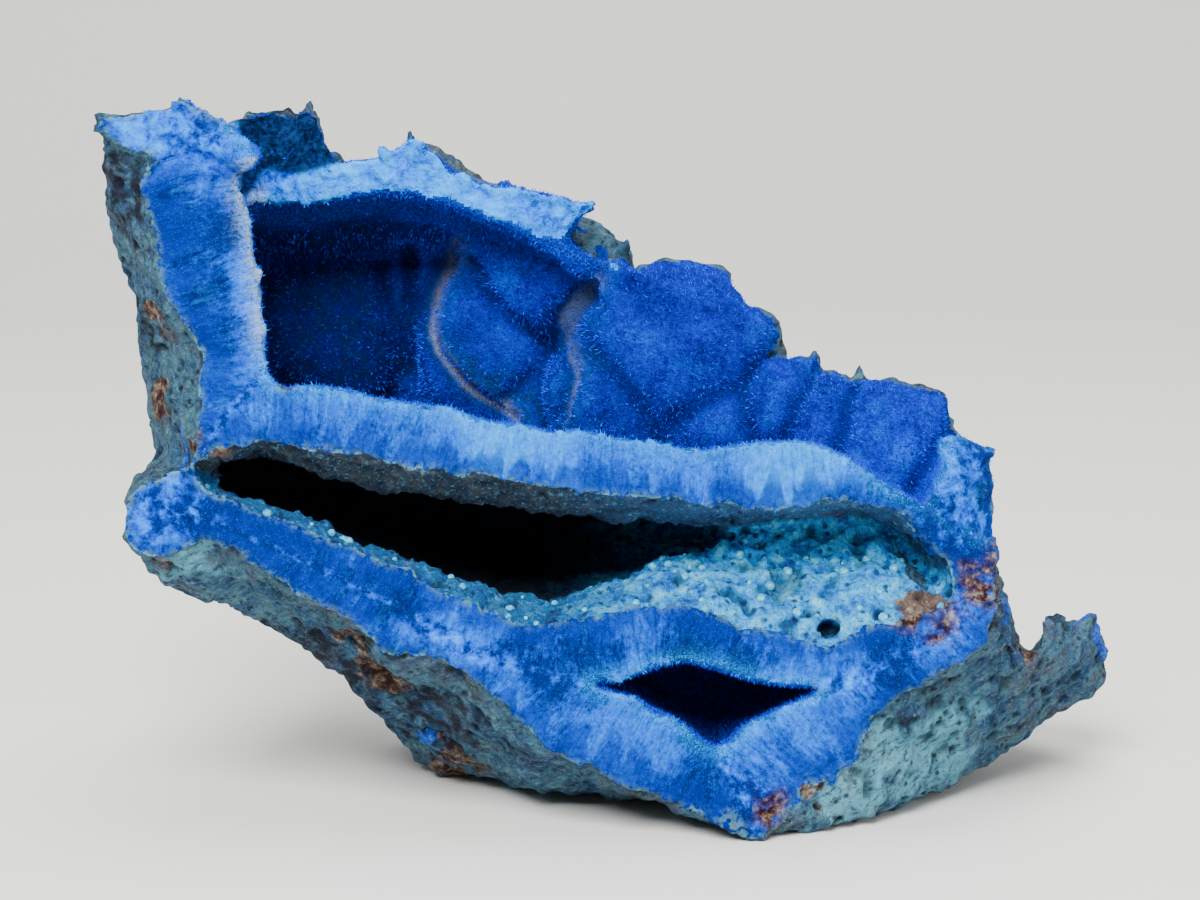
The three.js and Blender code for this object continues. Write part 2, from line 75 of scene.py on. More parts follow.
ROOF_EDGE = [(-31.5, 23), (-27.5, 22.7), (-23, 23.6), (-18.5, 24), (-14, 23.2), (-9, 22), (-4, 20), (0, 17.6),
    (3, 16.6)]
ROOF_CREST = [(-33.5, 30), (-27.5, 30), (-23.5, 26), (-17, 28), (-11, 24.5), (-1.5, 22.5), (1.5, 17)]
SLOT_CEILING = [(-37.3, -1.2), (-34, 0.5), (-30.5, 1), (-25, 0.5), (-18.5, -1), (-12, -2.5), (-5.5, -3.3),
    (0, -4), (4.5, -4.5), (9, -5), (14, -5.5), (18.5, -5.5), (23, -4.8), (27.5, -6), (32, -11)]
SLOT_FLOOR = [(-37.3, -2.6), (-34, -5), (-30.5, -6.5), (-25, -8.5), (-18.5, -11), (-12, -14.5), (-5.5, -16.3),
    (0, -15.5), (4.5, -14.5), (9, -15), (14, -17), (18.5, -18.5), (23, -18.7), (27.5, -17.8), (32, -16)]
EYE_MOUTH = [(-2, -21.5), (2.5, -21), (5, -20), (8.5, -19.5), (11, -20.5), (14.5, -21.5), (20.5, -21.9),
    (17.5, -23), (14.5, -24.5), (12.5, -26), (10.5, -27.4), (8.5, -26), (5.5, -24), (2.5, -22.5)]
LEFT_EDGE = [(-45.5, 30), (-42.5, 26.5), (-41.5, 21.5), (-39.5, 14.5), (-37, 9), (-37, 1), (-37.3, -1.2)]
LOW_EDGE = [(-43, -3), (-43.5, -7.5), (-41, -10), (-36, -8.5), (-31.5, -10.5), (-25, -14.5), (-18.5, -18),
    (-14, -20), (-9, -23.5), (-4.5, -27), (-0.5, -29.5), (3.5, -31.5), (9, -34), (14.5, -35.5)]
RIGHT_EDGE = [(14.5, -35.5), (17.5, -30), (23, -26), (29.5, -20.5), (33.5, -17.5), (36.5, -13.5), (36, -8.5)]
# where the crusts of the lower wall's two sides meet
SEAM_LEFT = [(-17, -16.2), (-12, -18.5), (-5, -20.7), (-2, -21.5)]
SEAM_RIGHT = [(20.5, -21.9), (25, -20.5), (31, -17.5)]
# a groove across the top of the left wall
CREST_GROOVE = [(-42.6, 25.6), (-40, 27), (-37, 27.3), (-34.4, 26.2), (-32, 24.4)]
# the velvet's outer edge along the lobes, which closes the brow over them
BROW_EDGE = [(-8, 20), (0, 8), (20, -1), (33, -7.5)]
# the broken right flank below the last lobe, and the dark bits that stand behind the left end of the roof
RIGHT_FLANK = [(31.7, 1.4), (37.5, 1), (39, -5), (37.5, -10.5), (33.1, -10.1), (30.4, -9.7), (28.1, -6.4),
    (30.4, -4.6), (31.7, -1.8)]
DARK_BITS = [(-33.6, 32), (-24, 32), (-24, 26.4), (-27.6, 25.3), (-30.8, 25.8), (-32.4, 23.2), (-33.4, 23.2),
    (-32.8, 27.6)]
# creases between the lobes, the first two with a pale fuzzy edge that is partly painted sheen, and painted dark
# teal shade beside it
CREASES = [
    [(-13.5, 18.4), (-15.5, 15), (-16.3, 12.5), (-16.2, 10.1), (-14.7, 7.6), (-12.7, 5.2), (-8.6, 2.9)],
    [(-0.2, 16.2), (-0.7, 15), (-2.7, 13.3), (-3.8, 11.3), (-3.6, 9.3), (-2.6, 7.4), (-3.1, 5.4), (-3.6, 3.4)],
    [(13.3, 6), (12.4, 4.6), (11.2, 2.3), (10.6, 0.9)],
    [(18.9, 5.3), (17.9, 3.7), (17.5, 1.8)],
    [(-17.7, 17.9), (-17.5, 15), (-18.2, 11), (-17.8, 7)]]
PALE_CREASES = 2

# how deep the upper hollow goes at each u
HOLLOW_DEPTHS = [(-60, 24), (2.5, 24), (6, 27), (10, 27), (16, 23), (21, 20), (26, 18), (32, 15.5), (60, 12)]
# how deep the broken face lies: u, v, depth
BREAK_DEPTHS = [(-45.5, 30, 8), (-38, 29, 8), (-34, 27, 8), (-38, 20, 6), (-35, 10, 5), (-34, 3, 4),
    (-20, 3, 2.5), (-5, 0, 1), (10, -2, 1), (20, -2, 2), (28, -5, 5), (33, -9, 7), (36, -13, 8), (-41, -5, 6),
    (-30, -8.5, 4), (-17, -14, 3), (-5, -21, 2), (0, -18, 2), (9, -17, 2), (18, -20, 2.5), (28, -18, 4),
    (34, -16, 6), (14, -34, 0), (5, -27, 1), (23, -23, 3)]
# the lobes behind the upper hollow: u, v, depth, then half width, half depth and half height in mm
LOBES = [(-24, 11, 43, 9.5, 8, 9.5), (-15, 12, 44.5, 12, 8, 11), (-9.6, 9.5, 38, 8.6, 11, 10),
    (-4, 3.4, 35, 7.6, 10, 7.2), (-4.4, 15.6, 35, 8, 9, 7), (6.9, 7.6, 29, 11.4, 12.5, 10.3),
    (1.6, 4.6, 28, 8, 11, 8), (0, 11, 38, 6.5, 7.5, 6), (10.6, 3, 27, 8.2, 11.4, 7.2),
    (16.2, 3.6, 23, 5.2, 8.5, 6), (20.6, 1.8, 20.2, 5.6, 8.6, 5.6), (26, 0.4, 18, 7.2, 9, 6.3),
    (31, -3.4, 16, 5, 7.5, 6), (31.8, -7.5, 15.5, 4, 7.5, 5)]
# small spikes and notches of the outline: u, v, depth, reach, the way it is drawn out to the right and up,
# and how much farther than TUG_SPAN it goes in depth
TUGS = [(-44.3, 29.4, 8, 1.6, -1.6, 0.5), (-42.8, 26.6, 8, 1.6, 1.3, 0.3), (-38.2, 30.6, 8, 1.5, 0.1, 1.3),
    (-36.2, 30.2, 8, 0.9, 0.2, 0.8), (-32.2, 27, 9, 2.6, 1.1, 0.1), (-32.6, 24.6, 9, 1.6, -0.9, 0),
    (-29.2, 29.2, 31, 1.9, 0, -2.6, 8), (-26.6, 29.6, 31, 1.7, 0, 1.7, 8), (-31.8, 29.4, 31, 1.3, -0.2, 1.2, 6),
    (-24.4, 28.4, 31, 1.0, -0.5, -0.8, 8), (-24.3, 26.6, 26, 1.3, -0.7, -0.9), (-17.3, 27.5, 25, 1.1, 0, 1.0),
    (-14, 25.6, 25, 1.2, 0, -0.8), (-8.6, 25, 25, 1.2, 0, 0.8), (-1.6, 22.2, 24, 1.2, 1.0, 0.3),
    (1.6, 17.4, 25, 1.0, 0.5, 1.3), (13.4, 13.6, 33, 3.6, -1.1, -0.9), (16.6, 9.4, 30, 2.4, -0.8, -0.9),
    (20, 8, 18, 1.0, 0.3, 2.2), (23.8, 6, 18, 0.8, 0, 1.1), (31, 4.6, 16, 1.2, 0.6, 0.5),
    (35, -0.6, 14, 1.2, 0.9, 0.4), (34.4, -3.4, 14, 1.0, -0.9, 0), (36.6, -14.6, 14, 1.0, 0.2, 0.9),
    (39.2, -16.4, 24, 2.5, 0.3, -3.6, 8), (42.6, -16.6, 24, 1.2, 0, -1.2, 8),
    (36.2, -15.2, 20, 1.0, 0.2, 1.4, 6), (45.4, -15.4, 16, 1.4, 0.4, 0.6), (-35.6, -0.8, 6, 1.4, 0.6, 0.4),
    (-43.4, -2.4, 7, 1.2, -0.4, 0.8), (14.6, -34.8, 1, 1.2, 0.5, -0.6)]
TUG_SPAN = 9
HOLE_U, HOLE_V = 21.2, -16.1  # the small hole in the slot's floor

# Places as u, v, depth and reach in mm. First where the broken face crumbles instead of showing straight fibres,
# then where its fibres are lighter, deeper blue, without frost, crusted teal or rusty.
CRUMBLY = [(-40, -5, 7, 6), (-42, 28, 8, 4), (-37, 29, 8, 4), (-27, 26, 24, 7), (-18, 25.5, 24, 7),
    (-8, 23, 24, 7), (-1, 21, 24, 5), (33, -6, 9, 7), (34, -13, 8, 4), (34, 0, 12, 5), (14, -33, 0, 3)]
LIGHT_WALL = [(-42, 29, 8, 3), (18, -1, 2, 6), (-9, 1, 2, 6), (-22, 25, 20, 7), (-12, 23.5, 22, 6)]
DEEP_WALL = [(-37.5, 20, 7, 5), (-35, 11, 6, 3), (-30, -8.5, 4, 8), (-20, -13, 3, 5), (-3, -20, 2, 5),
    (10, -17, 2, 5), (12, -33.5, 1, 3), (27, -19, 4, 4), (30, -6, 5, 5), (33, -9, 7, 4), (36, -2, 14, 5),
    (34.5, 1, 14, 3), (-38.5, 22, 7, 4), (-37.5, 18, 7, 3), (-36, 14, 7, 3), (10, -31, 1, 5)]
FROSTLESS = [(31, -6, 8, 6), (36, -2, 14, 6)]
CRUST_SPOTS = [(11.5, -34.6, 1, 2.4), (8.6, -33.6, 1, 1.4)]
FACE_IRON = [(35, -12.8, 9, 3.4), (31, -15.4, 7, 2.6), (28.4, -15.6, 6, 1.6), (-36.6, 1.2, 5, 1.2),
    (15.2, -33.4, 1, 1.9)]
# fuzzy pale blue places on the velvet
BLOOM_SPOTS = [(24.5, 5, 19, 4), (15.5, 12.5, 28, 5), (19, 7.5, 22, 4), (-2, 18.5, 30, 4), (8, 15.5, 31, 3)]
# rusty, broken blue, bright and dark places on the rind; the bright places at u -5 and -7 low down are painted
# reflected light on the underside
IRON_SPOTS = [(20, -10, 46, 5), (-22, -6, 48, 6), (-30, 16, 50, 5), (2, 2, 50, 4), (34, -20, 34, 4),
    (-38.5, 12, 12, 3.5), (-40, 5, 14, 3), (-37, 0.5, 6, 1.6), (-20.7, -20.8, 12, 4), (-23, -17.6, 8, 3),
    (-12, -27.5, 18, 4), (-14, -29, 22, 3), (14.6, -33, 2, 2), (21.1, -16.1, 5, 1.8), (30.5, -15.2, 7, 4),
    (38.5, -17.8, 15, 3), (35, -12, 10, 3), (24.5, -32, 9, 2.5), (18.5, -30.5, 4, 3), (20, -33, 5, 2.5),
    (-40, -9.5, 8, 2), (-35, 0.6, 5, 2.5)]
BLUE_SPOTS = [(45, -15.6, 27, 4), (35.6, -15, 12, 2.5), (10, 6, 46, 5), (-17, 11, 52, 4), (27, -7, 36, 4),
    (0, -20, 44, 4), (45, -15.6, 16, 3), (34.5, -16, 9, 1.8), (-39, 0, 8, 3), (-41.5, -6, 9, 4),
    (-15.6, -26.2, 18, 2)]
BRIGHT_SPOTS = [(29, -27, 12, 8), (-5, -29, 24, 9), (-7, -28.5, 30, 8), (-38, -9.6, 8, 3), (22, -31, 5, 5)]
DUSKY_SPOTS = [(-29, 28, 28, 7), (-24, 27, 28, 4), (-44, 24, 12, 6), (-22, -18, 12, 9), (-14, -23, 14, 8),
    (-6, -25, 12, 5), (-41, 12, 16, 5), (4, 10, 48, 9), (-26, -10, 46, 8), (30, -18, 36, 7)]

FACE, VELVET, SLOT_SIDE, RIND = range(4)

RIM_NEEDLE_BLUES = ((0, 96, 226), (10, 140, 250), (50, 180, 255))
VELVET_NEEDLE_BLUES = ((0, 24, 150), (0, 50, 220), (10, 116, 255))

# name, place, size in metres and power in watts
LIGHTS = (("key", (-0.12, -0.52, 0.5), 0.35, 12.8), ("fill", (0.6, -0.4, 0.25), 0.5, 2.5),
          ("top", (0.05, 0.1, 0.65), 0.4, 4.0))
LIGHTS_AIM = Vector((0, 0, 0.03))


# Geometry in numbers

def seen_from_eye(points):
    """Where points (mm in the frame) appear: mm right, mm up, and their depth behind the front."""
    own = points - LUMP_ZERO
    ray = own - EYE
    along = ray @ AHEAD
    return np.column_stack([ray[:, 0] * VIEW_DISTANCE / along, (ray @ UP) * VIEW_DISTANCE / along, own[:, 1]])


def at_depth(u, v, y):
    """The point (mm in the frame) that appears at u, v and lies y behind the front."""
    ray = AHEAD * VIEW_DISTANCE + UP * v + np.array([u, 0.0, 0.0])
    return EYE + ray * ((y - EYE[1]) / ray[1]) + LUMP_ZERO


def break_depth(u, v):
    """Depth of the broken face at u, v."""
    total = np.zeros_like(u)
    weight = np.zeros_like(u)
    for pu, pv, depth in BREAK_DEPTHS:
        w = 1.0 / (np.hypot(u - pu, v - pv) ** 2.5 + 2.0)
        total += w * depth
        weight += w
    return total / weight


def inside(u, v, outline):
    """Which of the points lie within a closed outline."""
    ring = np.asarray(outline, float)
    found = np.zeros(len(u), bool)
    for (x0, y0), (x1, y1) in zip(ring, np.roll(ring, -1, axis=0)):
        crosses = (y0 > v) != (y1 > v)
        with np.errstate(divide="ignore", invalid="ignore"):
            at = x0 + (v - y0) * (x1 - x0) / (y1 - y0)
        found ^= crosses & (u < at)
    return found


def to_line(u, v, line):
    """Distance to a polyline, and how far along it the nearest point is."""
    best = np.full(len(u), FAR)
    along = np.zeros(len(u))
    start = 0.0
    for (x0, y0), (x1, y1) in zip(line[:-1], line[1:]):
        dx, dy = x1 - x0, y1 - y0
        length = math.hypot(dx, dy)
        t = np.clip(((u - x0) * dx + (v - y0) * dy) / length ** 2, 0, 1)
        distance = np.hypot(u - x0 - t * dx, v - y0 - t * dy)
        nearer = distance < best
        best = np.where(nearer, distance, best)
        along = np.where(nearer, start + t * length, along)
        start += length
    return best, along


def along_line(u, line):
    """The second coordinate of a polyline at u."""
    return np.interp(u, *np.asarray(line, float).T)


# an odd turn, so that the noise's grid lines up with nothing
TILTED = np.array([[0.6536, -0.5721, 0.4955], [0.7568, 0.4941, -0.4278], [0.0, 0.6546, 0.7560]])


def scrambled(cell):
    """A jumble of bits for each cell of a grid."""
    h = cell[:, 0] * 374761393 + cell[:, 1] * 668265263 + cell[:, 2] * 2246822519
    h = (h ^ (h >> 13)) * 1274126177
    return h ^ (h >> 16)


def value_noise(points, size, seed):
    """Smooth noise between -1 and 1 with bumps of about `size`."""
    q = points @ TILTED / size + seed * 17.37
    cell = np.floor(q).astype(np.int64)
    f = q - cell
    f = f * f * (3 - 2 * f)
    total = np.zeros(len(q))
    for corner in range(8):
        step = (corner & 1, corner >> 1 & 1, corner >> 2 & 1)
        value = (scrambled(cell + step) & 0xFFFF) / 32767.5 - 1.0
        for axis in range(3):
            value = value * (f[:, axis] if step[axis] else 1 - f[:, axis])
        total += value
    return total


def cells(points, size, seed):
    """Distance to the nearest of many scattered points, in units of `size`."""
    q = points @ TILTED / size + seed * 11.3
    cell = np.floor(q).astype(np.int64)
    best = np.full(len(q), 9.0)
    for step in np.ndindex(3, 3, 3):
        c = cell + step - 1
        h = scrambled(c)
        spot = c + np.column_stack([h & 1023, h >> 10 & 1023, h >> 20 & 1023]) / 1023.0
        best = np.minimum(best, ((q - spot) ** 2).sum(1))
    return np.sqrt(best)


def eased(line, rounds=2):
    """A polyline with its corners cut."""
    line = np.asarray(line, float)
    for _ in range(rounds):
        a, b = line[:-1], line[1:]
        cut = np.empty((2 * len(a), 2))
        cut[0::2], cut[1::2] = 0.75 * a + 0.25 * b, 0.25 * a + 0.75 * b
        line = np.vstack([line[:1], cut, line[-1:]])
    return line


def grow(outline, by):
    """An outline pushed outwards from its middle."""
    ring = np.asarray(outline, float)
    middle = ring.mean(0)
    away = ring - middle
    return ring + away / np.linalg.norm(away, axis=1, keepdims=True) * by


def smoothstep(x, low, high):
    """Eases from 0 at low to 1 at high."""
    t = np.clip((x - low) / (high - low), 0, 1)
    return t * t * (3 - 2 * t)


def spots(points, places):
    """1 near the listed places, easing to 0 at their reach."""
    near = np.zeros(len(points))
    uneven = 1 + 0.4 * value_noise(points, 3.1, 81) + 0.3 * value_noise(points, 1.3, 83)
    for u, v, y, reach in places:
        away = np.linalg.norm(points - at_depth(u, v, y), axis=1) * uneven
        near = np.maximum(near, 1 - smoothstep(away, 0.4 * reach, 1.3 * reach))
    return near


class Skin:
    """The lump's fine surface: points in mm and four-sided faces."""

    def __init__(self, points, quads):
        self.points = points
        self.quads = quads
        self.edges = np.unique(quad_sides(quads), axis=0)

    def walk(self, start, through, rounds=26):
        """Distance over the surface from the `start` points, walking through the `through` points."""
        pairs = np.vstack([self.edges, self.quads[:, [0, 2]], self.quads[:, [1, 3]]])
        pairs = pairs[(through[pairs] | start[pairs]).all(1)]
        length = np.linalg.norm(self.points[pairs[:, 0]] - self.points[pairs[:, 1]], axis=1)
        far = np.where(start, 0.0, 99.0)
        for _ in range(rounds):
            a, b = far[pairs[:, 0]], far[pairs[:, 1]]
            np.minimum.at(far, pairs[:, 0], b + length)
            np.minimum.at(far, pairs[:, 1], a + length)
        return far

    def normals(self):
        """The way out at each point."""
        p = self.points[self.quads]
        n = np.cross(p[:, 2] - p[:, 0], p[:, 3] - p[:, 1])
        total = np.zeros_like(self.points)
        for i in range(4):
            for k in range(3):
                total[:, k] += np.bincount(self.quads[:, i], n[:, k], len(self.points))
        return total / np.maximum(np.linalg.norm(total, axis=1, keepdims=True), 1e-12)

    def spread(self, values, rounds=1, same=None):
        """Averages values with those of the neighbours, within `same` where it's given."""
        a, b = self.edges.T
        if same is not None:
            keep = same[a] == same[b]
            a, b = a[keep], b[keep]
        flat = values.ndim == 1
        values = values.reshape(len(values), -1).astype(float)
        n = len(values)
        count = np.bincount(a, minlength=n) + np.bincount(b, minlength=n) + 1.0
        for _ in range(rounds):
            total = values.copy()
            for k in range(values.shape[1]):
                total[:, k] += np.bincount(a, values[b, k], n) + np.bincount(b, values[a, k], n)
            values = total / count[:, None]
        return values[:, 0] if flat else values


def quad_sides(quads):
    """The faces' sides as pairs of points, all first sides before all second ones."""
    sides = np.concatenate([quads[:, [i, (i + 1) % 4]] for i in range(4)])
    sides.sort(axis=1)
    return sides


def sort_surface(points, normals):
    """Tells broken face, velvet, the slot's sides and outer rind apart."""
    u0, v0, y0 = seen_from_eye(points).T
    u, v, y = seen_from_eye(points + 0.6 * normals).T  # a little off the surface, inside the hollow that it bounds
    facing = -(normals @ AHEAD)
    behind = y0 - break_depth(u0, v0) + 0.35 * value_noise(points, 1.6, 61) + 0.2 * value_noise(points, 0.7, 63)
    kind = np.full(len(points), RIND)

    ring = SLOT_CEILING + SLOT_FLOOR[::-1]
    slot_part = inside(u, v, grow(ring, 1.2)) & (behind > 0.5) | inside(u, v, ring)
    outer_left = (u0 < -30.5) & (normals[:, 0] < -0.3) & (facing < 0.3) & (behind > 1.5)
    outer_right = (u0 > 25) & (normals[:, 0] > 0.35) & (facing < 0.4) & (behind > 3)
    kind[slot_part & (y < 34) & ~outer_left & ~outer_right] = SLOT_SIDE

    rim = HOLLOW_LEFT_RIM + HOLLOW_FLOOR_RIM + HOLLOW_BEYOND
    deeper = ([(a - 4.8, b) for a, b in HOLLOW_LEFT_RIM]
              + [(a, b - 3.9 * float(smoothstep(np.array(34.0 - a), 0, 30))) for a, b in HOLLOW_FLOOR_RIM]
              + HOLLOW_BEYOND)
    open_part = inside(u, v, deeper) & (behind > 0.6) | inside(u, v, rim) & (facing > -0.6)
    open_part &= y < along_line(u, HOLLOW_DEPTHS) + 1.0
    deep_part = inside(u, v, grow(DEEP_END, 0.8)) & (y > 14) & (y < 44) & (facing > -0.3)
    eye_part = (inside(u, v, grow(EYE_MOUTH, 1.4)) & (behind > 0.6) | inside(u, v, EYE_MOUTH)) & (y < 22)
    kind[(open_part | deep_part | eye_part) & ~outer_left] = VELVET
    brow = inside(u0, v0, HOLLOW_BEYOND + BROW_EDGE) & (facing > 0.12) & (y0 > 9)
    brow &= y0 < (along_line(u0, HOLLOW_DEPTHS) + 4.5 + 3.0 * value_noise(points, 4, 91)
                  + 1.5 * value_noise(points, 1.5, 93))
    kind[brow] = VELVET

    face = (behind < 0.8) & (facing > 0.55 + 0.15 * value_noise(points, 1.1, 67))
    face &= ~inside(u0, v0, grow(rim, -0.4))
    face |= inside(u0, v0, RIGHT_FLANK) & (y0 < 22) & (facing > 0.1)
    kind[face] = FACE
    roof = (y0 > 18) & (y0 < 27.5) & (facing > 0.4) & (abs(u0 + 16.2) < 18)
    roof &= v0 > (along_line(u0, ROOF_EDGE) - 0.2 + 0.7 * value_noise(points, 3.0, 73)
                  + 0.5 * value_noise(points, 1.0, 75))
    kind[roof] = FACE
    return kind


def fine_skin(voxel):
    """A fine even mesh of the CAD solid."""
    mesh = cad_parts[NODE].data.copy()
    obj = add_object("fine_skin", mesh)
    obj.modifiers.new("weld", "WELD").merge_threshold = 1e-6
    remesh = obj.modifiers.new("remesh", "REMESH")
    remesh.mode = "VOXEL"
    remesh.voxel_size = voxel
    fine = made_plain(obj)
    points = read_values(fine.vertices, "co", 3, float)
    corners = read_values(fine.loops, "vertex_index", 1, np.int64)
    bpy.data.objects.remove(obj)
    bpy.data.meshes.remove(mesh)
    bpy.data.meshes.remove(fine)
    return Skin(points.reshape(-1, 3) / MM, corners.reshape(-1, 4))


def fibre_places(u, v, y):
    """How far along their wall points of the broken face lie, and how far from a seam and from a mitre."""
    along, from_rind, second = np.zeros(len(u)), np.full(len(u), FAR), np.full(len(u), FAR)
    for i, line in enumerate([LEFT_EDGE, SLOT_CEILING, SLOT_FLOOR, LOW_EDGE, RIGHT_EDGE, ROOF_CREST]):
        distance, at = to_line(u, v, eased(line))
        if line in (LEFT_EDGE, ROOF_CREST):
            distance = np.where((y > 15) == (line is ROOF_CREST), distance, FAR)
        along = np.where(distance < from_rind, at + 97.0 * i, along)
        second = np.where(distance < from_rind, from_rind, np.minimum(second, distance))
        from_rind = np.minimum(from_rind, distance)
    from_seam = np.min([to_line(u, v, line)[0] for line in (SEAM_LEFT, SEAM_RIGHT)], axis=0)
    return along, from_seam, second - from_rind


def lobe_creases(points, seen):
    """For each point, 0 to 1: how deep in a crease between lobes it lies, how pale (partly painted sheen) and how
    much dark teal painted shade it takes beside the creases that are drawn so, and how near it is to a lobe's
    lighter margin, a painted sheen."""
    nearest = np.full((2, len(points)), FAR)
    for u, v, y, *half in LOBES:
        away = (np.linalg.norm((points - at_depth(u, v, y)) / np.array(half), axis=1) - 1) * np.mean(half)
        nearest = np.sort(np.vstack([nearest, away[None]]), axis=0)[:2]
    gap, close = nearest[1] - nearest[0], nearest[0] < 1.5
    crease = 0.7 * np.exp(-(gap / 0.9) ** 2) * close
    margin = np.exp(-((gap - 2.4) / 1.2) ** 2) * close
    u, v, y = seen.T
    back, low = smoothstep(y, 17, 21), smoothstep(-v, -12, -6)
    pale, teal = np.zeros(len(u)), np.zeros(len(u))
    for i, line in enumerate(CREASES):
        line = eased(line)
        distance = to_line(u, v, line)[0]
        crease = np.maximum(crease, np.exp(-distance ** 2) * back)
        if i < PALE_CREASES:
            right = u - np.interp(v, line[::-1, 1], line[::-1, 0])
            fuzzy = np.exp(-(distance / np.where(right > 0, 1.6, 0.5)) ** 2) * (1.0 - 0.3 * i)
            pale = np.maximum(pale, fuzzy * back)
            beside = (1 - smoothstep(distance, 1.6, 5.5)) * low * (right > -0.3)
            teal = np.maximum(teal, beside * back)
    return crease, pale, teal, margin


GROWN = {}


def grown():
    """The fine skin and what is known of its points, made on the first call."""
    if not GROWN:
        grow_skin()
    return GROWN


def grow_skin():
    """Makes the fine skin, sorts it and gives each kind of surface its own relief."""
    fibre_relief, rind_relief, velvet_relief, raggedness = (
        getattr(settings(), key) / MM for key in ("fibre_relief", "rind_relief", "velvet_relief", "raggedness"))
    skin = fine_skin(settings().voxel)
    skin.points = skin.spread(skin.points, 1)
    u, v, y = seen_from_eye(skin.points).T
    for tug_u, tug_v, tug_y, reach, right, up, *span in TUGS:
        pull = 1 - smoothstep(np.hypot(u - tug_u, v - tug_v), 0.15 * reach, reach)
        pull = pull * (abs(y - tug_y) < sum(span, TUG_SPAN))
        skin.points += pull[:, None] * np.array([right, 0.0, up])
    kind = sort_surface(skin.points, skin.spread(skin.normals(), 4))
    # lone specks take their neighbours' kind
    for _ in range(3):
        kind = np.stack([skin.spread((kind == k).astype(float), 2) for k in range(4)]).argmax(0)
    skin.points = skin.spread(skin.points, 2, kind)
    smooth = skin.spread(skin.points, 8, kind)
    skin.points = np.where((kind == VELVET)[:, None], smooth, skin.points)
    mixed = np.zeros(len(kind), bool)
    mixed[skin.edges[kind[skin.edges[:, 0]] != kind[skin.edges[:, 1]]]] = True
    skin.points = np.where(mixed[:, None], skin.spread(skin.points, 4), skin.points)

    p = skin.points
    from_rind = skin.walk((kind == RIND) | (kind == SLOT_SIDE), kind == FACE)
    from_rim = skin.walk(kind == VELVET, kind == FACE)
    flat = skin.spread(skin.normals(), 10)
    normals = flat / np.maximum(np.linalg.norm(flat, axis=1, keepdims=True), 1e-9)
    seen = seen_from_eye(p)
    u, v, y = seen.T
    edge = smoothstep(np.einsum("ij,ij->i", p - skin.spread(p, 14), normals), 0.10, 0.45)
    face, velvet, slot, rind = [skin.spread((kind == k).astype(float), 2) for k in (FACE, VELVET, SLOT_SIDE, RIND)]
    crease, pale, teal, margin = lobe_creases(p, seen)

    # broken face: blocks of fibre that end at different depths, and a groove across the left wall's top
    lift = face * fibre_relief * (0.7 * value_noise(p, 2.2, 8) + 0.5 * value_noise(p, 1.1, 9))
    lift -= face * 1.1 * np.exp(-(to_line(u, v, CREST_GROOVE)[0] / 0.7) ** 2) * (y < 14)
    # rind and slot: lumps, grains and pits, craters in the slot and the hole in its floor
    pit = (1 - smoothstep(cells(p, 2.4, 19), 0.10, 0.30)) * smoothstep(value_noise(p, 5, 21), -0.4, 0.2)
    pit = np.maximum(pit, 0.7 * smoothstep(value_noise(p, 1.5, 20), 0.40, 0.75))
    from_hole = np.hypot(u - HOLE_U, 1.5 * (v - HOLE_V)) + 0.35 * value_noise(p, 0.9, 85)
    hole = 1 - smoothstep(from_hole, 0.4, 1.0)
    pit = np.maximum(pit, hole * (y < 14))
    lift -= slot * 1.6 * hole
    lift += (rind + slot) * rind_relief * (
        0.8 * value_noise(p, 3.3, 11) + 0.6 * value_noise(p, 1.5, 13) + 0.5 * value_noise(p, 0.8, 17) - 1.1 * pit)
    craters = 1 - smoothstep(cells(p, 1.9, 71), 0.2, 0.45)
    lift += slot * rind_relief * (0.9 * (0.55 - cells(p, 0.95, 37)) - 0.8 * craters)
    # velvet: low waves, and creases between the lobes
    lift += velvet * velvet_relief * (0.8 * value_noise(p, 2.4, 23) + 0.6 * value_noise(p, 0.9, 29))
    lift -= velvet * 1.25 * crease
    # rims and crests break off raggedly, in peaks
    ragged = 1.1 * (1 - np.abs(value_noise(p, 2.3, 41))) ** 3 + 0.6 * value_noise(p, 1.0, 43) - 0.35
    lift += edge * raggedness * ragged * (1 - 0.8 * velvet) * smoothstep(p[:, 2], 0.5, 3)
    skin.points = p + normals * lift[:, None]
    skin.points[:, 2] = np.maximum(skin.points[:, 2], 0.0)

    # the roof's fuzzy lower fringe, and the fold below it, which the velvet material darkens as a painted shadow
    under = along_line(u, ROOF_EDGE) - v
    fringe = (kind == VELVET) * (abs(u + 16) < 17) * (y < 30)
    fringe = fringe * smoothstep(y, 16, 19) * (1 - smoothstep(under, 1.6, 2.8))
    fold = np.exp(-((under - 3.8) / 1.1) ** 2) * (1 - smoothstep(u, -16, -10)) * (y > 18)
    # painted sheen: the velvet's ridges and lobe margins made lighter, with a few pale fuzzy places
    bloom = np.maximum(spots(p, BLOOM_SPOTS), edge * (y > 12)) * smoothstep(u, -8, 0)
    bloom = np.maximum(bloom, 0.75 * margin * smoothstep(u, -18, -12))
    stained = np.exp(-((from_hole - 1.2) / 0.5) ** 2) * (y < 14) * (0.5 + 0.7 * value_noise(p, 1.0, 87))
    # deep grows with the depth behind the broken face; the velvet and slot materials darken with it, as painted
    # shade
    GROWN.update(skin=skin, kind=kind, normals=normals, seen=seen, pit=pit, stained=stained,
                 lit=smoothstep(u, -8, 9), from_rind=skin.spread(from_rind, 3, kind),
                 from_rim=skin.spread(from_rim, 3, kind),
                 deep=smoothstep(y - break_depth(u, v), 4, 17), rim=skin.spread(face, 4), pale=pale, teal=teal,
                 crease=np.maximum(crease, fold), fringe=skin.spread(fringe, 2), bloom=skin.spread(bloom, 3))


